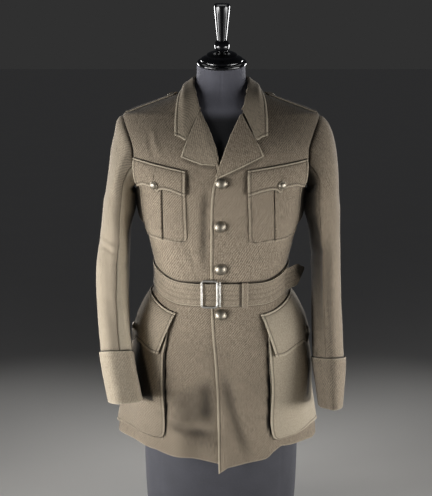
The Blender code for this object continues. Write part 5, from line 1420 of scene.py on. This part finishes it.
def belt():
    """One strap round the waist: its free end passes over its start and stands out."""
    turn = np.concatenate([np.linspace(-7.0, 352.0, 41), np.linspace(359.0, 426.0, 10)])
    wrapped = (turn + 180.0) % 360.0 - 180.0
    s = round_at(np.abs(wrapped), BELT_LEVEL) * np.sign(wrapped)
    near = CLOTH + BELT_OUT + BELT_LAP * smooth((turn - 331.0) / 19.0)
    near = near + np.where(np.abs(s) < 0.08, lap(s, BELT_LEVEL), 0.0)
    angle = np.broadcast_to(np.radians(wrapped)[:, None], (len(turn), 3))
    level = BELT_LEVEL + np.broadcast_to(np.array([-BELT_HALF, 0.0, BELT_HALF]), angle.shape)
    grid = body(angle, level) + body_normal(angle, level) * near[:, None, None]
    step = unit(unit(grid[-1, 1] - grid[-2, 1]) + np.array([0.42, -0.24, -0.04]))
    base = grid[-1].copy()
    grid = np.concatenate([grid, [base[1] + step * far + (base - base[1]) * share + UP * rise
                                  for far, share, rise in BELT_END]])
    grid = through(grid, np.concatenate([np.linspace(0, 50, 301),
                                         np.linspace(50, len(grid) - 1, 25)[1:]]))
    # Rows of sewing along the belt, at even distances between its two edges.
    sewn = np.array([-19.5, -9.0, 0.0, 9.0, 19.5]) / 1000
    offsets = np.unique(np.round(np.concatenate([
        BELT_HALF - PLAIN, PLAIN - BELT_HALF, sewn, sewn - 0.0009, sewn + 0.0009,
        np.array([-14.2, -4.5, 4.5, 14.2]) / 1000]), 6))
    fine = through(grid, (offsets / BELT_HALF + 1.0), axis=1)
    rib = -0.00035 * sum(bell(offsets - o, 0.0008) for o in sewn)
    rib = rib + 0.00025 * np.cos(2 * math.pi * offsets / 0.0098)
    far = from_borders(fine)
    ends = smooth(far[1] / 0.01)
    # Painted shade: the free end turns away from the light, and the loop's edge is dark on the
    # belt.
    by_loop = np.abs(fine[..., 0] - frame_at(0.0386, 0.0)[0][0]) + 1.0 * (fine[..., 1] > 0)
    shade = np.maximum(0.85 * smooth((0.030 - far[1]) / 0.014), 0.9 * bell(by_loop, 0.0016))
    # Painted shade along the rows of sewing.
    rows = 0.30 * ends * sum(bell(offsets - o, 0.0009) for o in sewn)[None, :]
    at = [int(np.argmin(np.abs(offsets - o))) for o in sewn]
    # The belt gets a little painted light.
    piece("belt", lifted(fine, outward(fine, 60, fine[60] * FLAT)), BELT_THICK, "....",
          np.stack([far[0], far[2]], axis=-1),
          lambda outer, normal: [(outer[2:-10, k], normal[2:-10, k]) for k in at],
          dict(pitch=0.0036, length=0.0028), extra=rib[None, :] * ends, pale=0.10,
          deep=np.maximum(shade, rows))


def buckle():
    """Round wire swept round a rectangle with rounded corners, and the bar beside it."""
    at, along, up, out = frame_at(-0.0226, 0.0134)
    at = at + up * 0.0025
    half_w, half_h, corner, wire = 0.0157, 0.0268, 0.0050, 0.00225
    quarter = np.radians(np.linspace(0, 90, 9))
    turn = np.concatenate([quarter + np.radians(b) for b in (0, 90, 180, 270)])
    cx = np.repeat([1, -1, -1, 1], 9) * (half_w - corner)
    cz = np.repeat([1, 1, -1, -1], 9) * (half_h - corner)
    du, dv = np.cos(turn), np.sin(turn)
    centre = at + along * (cx + corner * du)[:, None] + up * (cz + corner * dv)[:, None]
    away = along * du[:, None] + up * dv[:, None]
    a = np.linspace(0.0, 2 * math.pi, 16, endpoint=False)
    ring = (centre[:, None] + wire * (np.cos(a)[None, :, None] * away[:, None]
                                      + 0.9 * np.sin(a)[None, :, None] * out))
    rows, cols = ring.shape[:2]
    # The tube closes on itself: the last ring's faces run on to the first.
    faces = quads(rows + 1, cols, True) % (rows * cols)
    make("buckle_frame_wire", ring.reshape(-1, 3), faces, "nickel", node="buckle_frame")
    at = frame_at(-0.0022, 0.0132)[0]
    profile = ((0.0011, 0.0), (0.0015, 0.0003), (0.0017, 0.0010), (0.0017, 0.0514),
               (0.0015, 0.0521), (0.0011, 0.0524), (0.0, 0.0524))
    turned("buckle_bar_rod", at - UP * 0.0240, UP, profile, 24, "nickel", "buckle_bar")


def belt_loop():
    """A cloth loop round both thicknesses of the belt: flat sides with tight corners."""
    low, high, edge = 0.0402, 0.0520, BELT_HALF + 0.0012
    spec = np.array(((-edge, 0.0), (-edge, 0.0068), (0.0, 0.0074), (edge, 0.0068), (edge, 0.0)))
    loop = []
    for s in (low, (low + high) / 2, high):
        theta, level = np.full(5, float(angle_at(s, BELT_LEVEL))), BELT_LEVEL + spec[:, 0]
        base = CLOTH + LOOP_OUT + float(lap(s, BELT_LEVEL))
        loop.append(body(theta, level) + body_normal(theta, level) * (base + spec[:, 1])[:, None])
    ends = np.array([0, 0.04, 0.12, 0.3])
    fine = through(np.array(loop), spaced(2.0, ends, ends, 0.2)[0])
    corners = np.array([0, 0.5, 0.85, 0.95, 1.0, 1.05, 1.15, 1.5, 2.0, 2.5, 2.85, 2.95, 3.0, 3.05,
                        3.15, 3.5, 4.0])
    fine = np.stack([np.stack([np.interp(corners, np.arange(5), g[:, c]) for g in fine])
                     for c in range(3)], axis=-1)
    far = from_borders(fine)
    piece("belt_loop", lifted(fine, outward(fine, (1, 8), np.array([0.0, -1.0, 0.0]))),
          LOOP_WALL, "....", np.stack([far[0], far[2]], axis=-1))


def build_belt():
    """The belt, its buckle and its loop."""
    for build in (belt, buckle, belt_loop):
        build()


def button(node, point, axis, radius, tall=1.0):
    """Domed button: a flat rim, a fine groove and the dome, turned from one profile."""
    rim = np.array([(0.96, 0.0), (1.0, 0.03), (1.0, 0.11), (0.97, 0.15), (0.93, 0.155),
                    (0.905, 0.14), (0.89, 0.17)])
    a = np.radians(np.linspace(8, 90, 16))
    dome = np.stack([0.90 * np.cos(a), 0.115 + 0.535 * np.sin(a)], axis=1)
    dome[-1, 0] = 0.0
    profile = np.concatenate([rim, dome]) * radius * np.array([1.0, tall])
    turned(node + "_dome", point, axis, profile, 48, "bronzed_metal", node)


def button_on(node, s, level, out, radius):
    """A button out along the surface's normal at a place on the coat."""
    normal = body_normal(angle_at(s, level), level).reshape(3)
    button(node, on(s, level, out).reshape(3), normal, radius)


def build_buttons():
    """Buttons of the straps, pockets and front."""
    for side, word in SIDES:
        place = place_xy(side * 0.101, 0.0)
        normal = body_normal(*place)
        button("strap_button_" + word, (body(*place) + normal * (CLOTH + 0.0037)).reshape(3),
               normal.reshape(3), SMALL_BUTTON_R, 0.55)
        s, level = BREAST[word]["button"]
        button_on("breast_button_" + word, side * s, level, CLOTH + 0.0060 + PATCH + 0.0009,
                  SMALL_BUTTON_R)
        s, level = SKIRT[word]["button"]
        rise = CLOTH + float(flap_rise(0.5, 0.72)) + PATCH + (0.0024 if side > 0 else 0.0026)
        button_on("skirt_button_" + word, side * s, level, rise, SMALL_BUTTON_R)
    for k, (s, level, out) in enumerate(FRONT_BUTTONS):
        button_on(f"front_button_{k + 1}", s, level, CLOTH + LAP_LIFT + out, BUTTON_R)


# --- the stage
def put(name, data, at=(0.0, 0.0, 0.0), turn=(0.0, 0.0, 0.0)):
    """An object of the stage at its place."""
    obj = bpy.data.objects.new(name, data)
    obj.location, obj.rotation_euler = at, turn
    bpy.context.scene.collection.objects.link(obj)
    return obj


def area_light(name, at, target, power, size, spread):
    """A softbox: its power, its width and height, and how wide its light spreads."""
    data = bpy.data.lights.new(name, "AREA")
    data.energy, data.shape, data.size, data.size_y = power, "RECTANGLE", size[0], size[1]
    data.spread = math.radians(spread)
    way = np.array(target, float) - np.array(at, float)
    tip = math.atan2(math.hypot(way[0], way[1]), -way[2])
    put(name, data, at, (tip, 0.0, math.atan2(way[1], way[0]) - math.pi / 2))


def build_stage():
    """Pale floor, soft lights from the sides, front, back and above, haze and the camera."""
    wide = 70.0              # half the floor's width, past the far haze
    floor = bpy.data.meshes.new("studio_floor")
    floor.from_pydata([(-wide, -wide, 0), (wide, -wide, 0), (wide, wide, 0), (-wide, wide, 0)], [],
                      [(0, 1, 2, 3)])
    floor.materials.append(material("floor"))
    put("studio_floor", floor, (0.0, 0.0, -0.0005))
    scene = bpy.context.scene
    sets = scene.tunic_stage
    for name, at, power in (
            ("side_left", (-1.74, -0.26, 0.36), sets.key * 0.42),
            ("left", (-1.50, -0.92, 0.36), sets.key * 0.62),
            ("front_left", (-0.98, -1.02, 0.20), sets.fill),
            ("front_right", (0.98, -1.02, 0.20), sets.fill * 0.8),
            ("right", (1.56, -0.80, 0.36), sets.key * 0.34),
            ("side_right", (1.74, -0.26, 0.36), sets.key * 0.24)):
        area_light(name, at, (0.0, 0.0, 0.46), power, (0.6, 0.5), 62.0)
    for word, x in (("left", -1.15), ("right", 1.15)):
        area_light("back_" + word, (x, 1.65, 0.75), (0.0, 0.0, 0.55), sets.back, (0.7, 0.7), 70.0)
    over = bpy.data.lights.new("high_soft", "SUN")
    over.energy, over.angle = sets.high, math.radians(25.0)
    put("high_soft", over, turn=(math.radians(-38.0), 0.0, 0.0))
    world = bpy.data.worlds.new("studio air")
    world.use_nodes = True
    scene.world = world
    tree = world.node_tree
    # A low band of haze as bright as the far floor, and dim air over it.
    way = add(tree, "ShaderNodeTexCoord").outputs["Generated"]
    way = add(tree, "ShaderNodeSeparateXYZ", {0: way}).outputs[2]
    haze = add(tree, "ShaderNodeMapRange", dict(zip(RANGE, (way, 0.05, 0.18, 1.0, 0.0))))
    sky = add(tree, "ShaderNodeMix", {0: haze, 6: linear("#202124"), 7: linear("#303030")},
              data_type="RGBA").outputs[2]
    join(tree, tree.nodes["Background"], {"Color": sky, "Strength": sets.air})
    target, elevation, distance = np.array([-0.0105, 0.0, 0.58]), math.radians(9.0), 2.6
    data = bpy.data.cameras.new("camera")
    data.lens, data.sensor_width, data.sensor_fit = 89.86, 36.0, "AUTO"
    data.dof.use_dof = False
    at = target + distance * np.array([0.0, -math.cos(elevation), math.sin(elevation)])
    scene.camera = put("camera", data, at, (math.pi / 2 - elevation, 0.0, 0.0))
    scene.view_settings.view_transform = "Standard"


# --- the add-on
def watts(label, default, use):
    """A light's power, never negative."""
    return FloatProperty(name=label, description=use, default=default, min=0.0, subtype="POWER")


def swatch(label, default, use):
    """A colour, given as sRGB hex and kept linear."""
    return FloatVectorProperty(name=label, description=use, default=linear(default)[:3], size=3,
                               subtype="COLOR", min=0.0, max=1.0)


class TunicStage(bpy.types.PropertyGroup):
    """Powers of the studio's lights."""
    key: watts("Side lights", 5.4, "Power that the four lights beside the tunic share")
    fill: watts("Front lights", 0.5, "Power of each low light in front")
    back: watts("Back lights", 3.0, "Power of each light behind the tunic")
    high: FloatProperty(name="High light", description="Strength of the soft light from above, "
                        "in W/m2", default=0.08, min=0.0)
    air: FloatProperty(name="Air", description="Strength of the light from all round",
                       default=1.0, min=0.0, subtype="FACTOR", soft_max=2.0)


class TunicFinish(bpy.types.PropertyGroup):
    """Colours of the cloth, form and metal, and the width of the cloth's cords."""
    cords: FloatProperty(name="Cord pitch, mm", description="Distance between the whipcord's "
                         "double cords, in mm", default=3.8, min=1.0, max=10.0)
    whipcord: swatch("Cloth", "#A39480", "Colour on top of the cords")
    whipcord_deep: swatch("Cloth, deep", "#4C4338", "Colour between the cords")
    # worn rims and flecks, also the colour of painted light
    whipcord_worn_and_lit: swatch("Cloth, worn", "#C4B8A2", "Colour of worn rims and pale flecks")
    # the colour of painted shade in folds, seams, gaps and shadows
    whipcord_painted_shade: swatch("Cloth, grimy", "#120F0C", "Colour of folds and seams in shade")
    form_cover: swatch("Form cover", "#65656E", "Colour of the form's jersey")
    buttons: swatch("Buttons", "#B9B0A0", "Colour of the buttons' bronzed metal")
    buckle: swatch("Buckle", "#CAC8C2", "Colour of the buckle's nickel plate")
    thread: swatch("Thread", "#948870", "Colour of the sewing thread")
    floor: swatch("Floor", "#D9D7D3", "Colour of the studio floor")
    stitches: FloatProperty(name="Stitch spacing", description="Distance between the stitches "
                            "of the cloth's seams", default=0.0031, min=0.002, max=0.01,
                            precision=4, unit="LENGTH")


def operator(name, label, doc, build):
    """An operator class that runs one group's builder."""
    def execute(self, context):
        """Builds the group."""
        build()
        return {"FINISHED"}
    return type("TUNIC_OT_" + name, (bpy.types.Operator,), {
        "__doc__": doc, "bl_idname": "tunic." + name, "bl_label": label, "execute": execute})


STEPS = (
    ("form", "Form", "Smooth covered form and its turned cap", build_form),
    ("panels", "Fronts and backs", "The four body panels with their folds", build_panels),
    ("sleeves", "Sleeves", "Two-piece sleeves and turned-back cuffs", build_sleeves),
    ("collar", "Collar and lapels", "Stand, fall and lapels, sewn round", build_collar),
    ("pockets", "Pockets", "Breast and bellows pockets with flaps", build_pockets),
    ("straps", "Shoulder straps", "Two sewn straps", build_straps),
    ("belt", "Belt", "Belt, loop and buckle", build_belt),
    ("buttons", "Buttons", "Domed buttons", build_buttons),
    ("stage", "Studio", "Floor, lights, air and camera", build_stage),
)
OPERATORS = [operator(*step) for step in STEPS]


class TUNIC_PT_panel(bpy.types.Panel):
    """Buttons for each group of pieces."""
    bl_label, bl_idname = "Dress tunic", "TUNIC_PT_panel"
    bl_space_type, bl_region_type, bl_category = "VIEW_3D", "UI", "Tunic"

    def draw(self, context):
        """Lists the operators and then the settings."""
        for kind in OPERATORS:
            self.layout.operator(kind.bl_idname)
        for group in (context.scene.tunic_stage, context.scene.tunic_finish):
            for key in type(group).__annotations__:
                self.layout.prop(group, key)


CLASSES = [TunicStage, TunicFinish, *OPERATORS, TUNIC_PT_panel]


def register():
    """Registers the classes and hangs both groups of settings on the scene."""
    for kind in CLASSES:
        bpy.utils.register_class(kind)
    bpy.types.Scene.tunic_stage = PointerProperty(type=TunicStage)
    bpy.types.Scene.tunic_finish = PointerProperty(type=TunicFinish)


def unregister():
    """Takes the settings and the classes off again."""
    del bpy.types.Scene.tunic_finish, bpy.types.Scene.tunic_stage
    for kind in reversed(CLASSES):
        bpy.utils.unregister_class(kind)


def main():
    """Registers the add-on, runs its operators in order and writes the sizes."""
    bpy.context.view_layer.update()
    register()
    for kind in OPERATORS:
        group, name = kind.bl_idname.split(".")
        getattr(getattr(bpy.ops, group), name)()


if __name__ == "__main__":
    main()
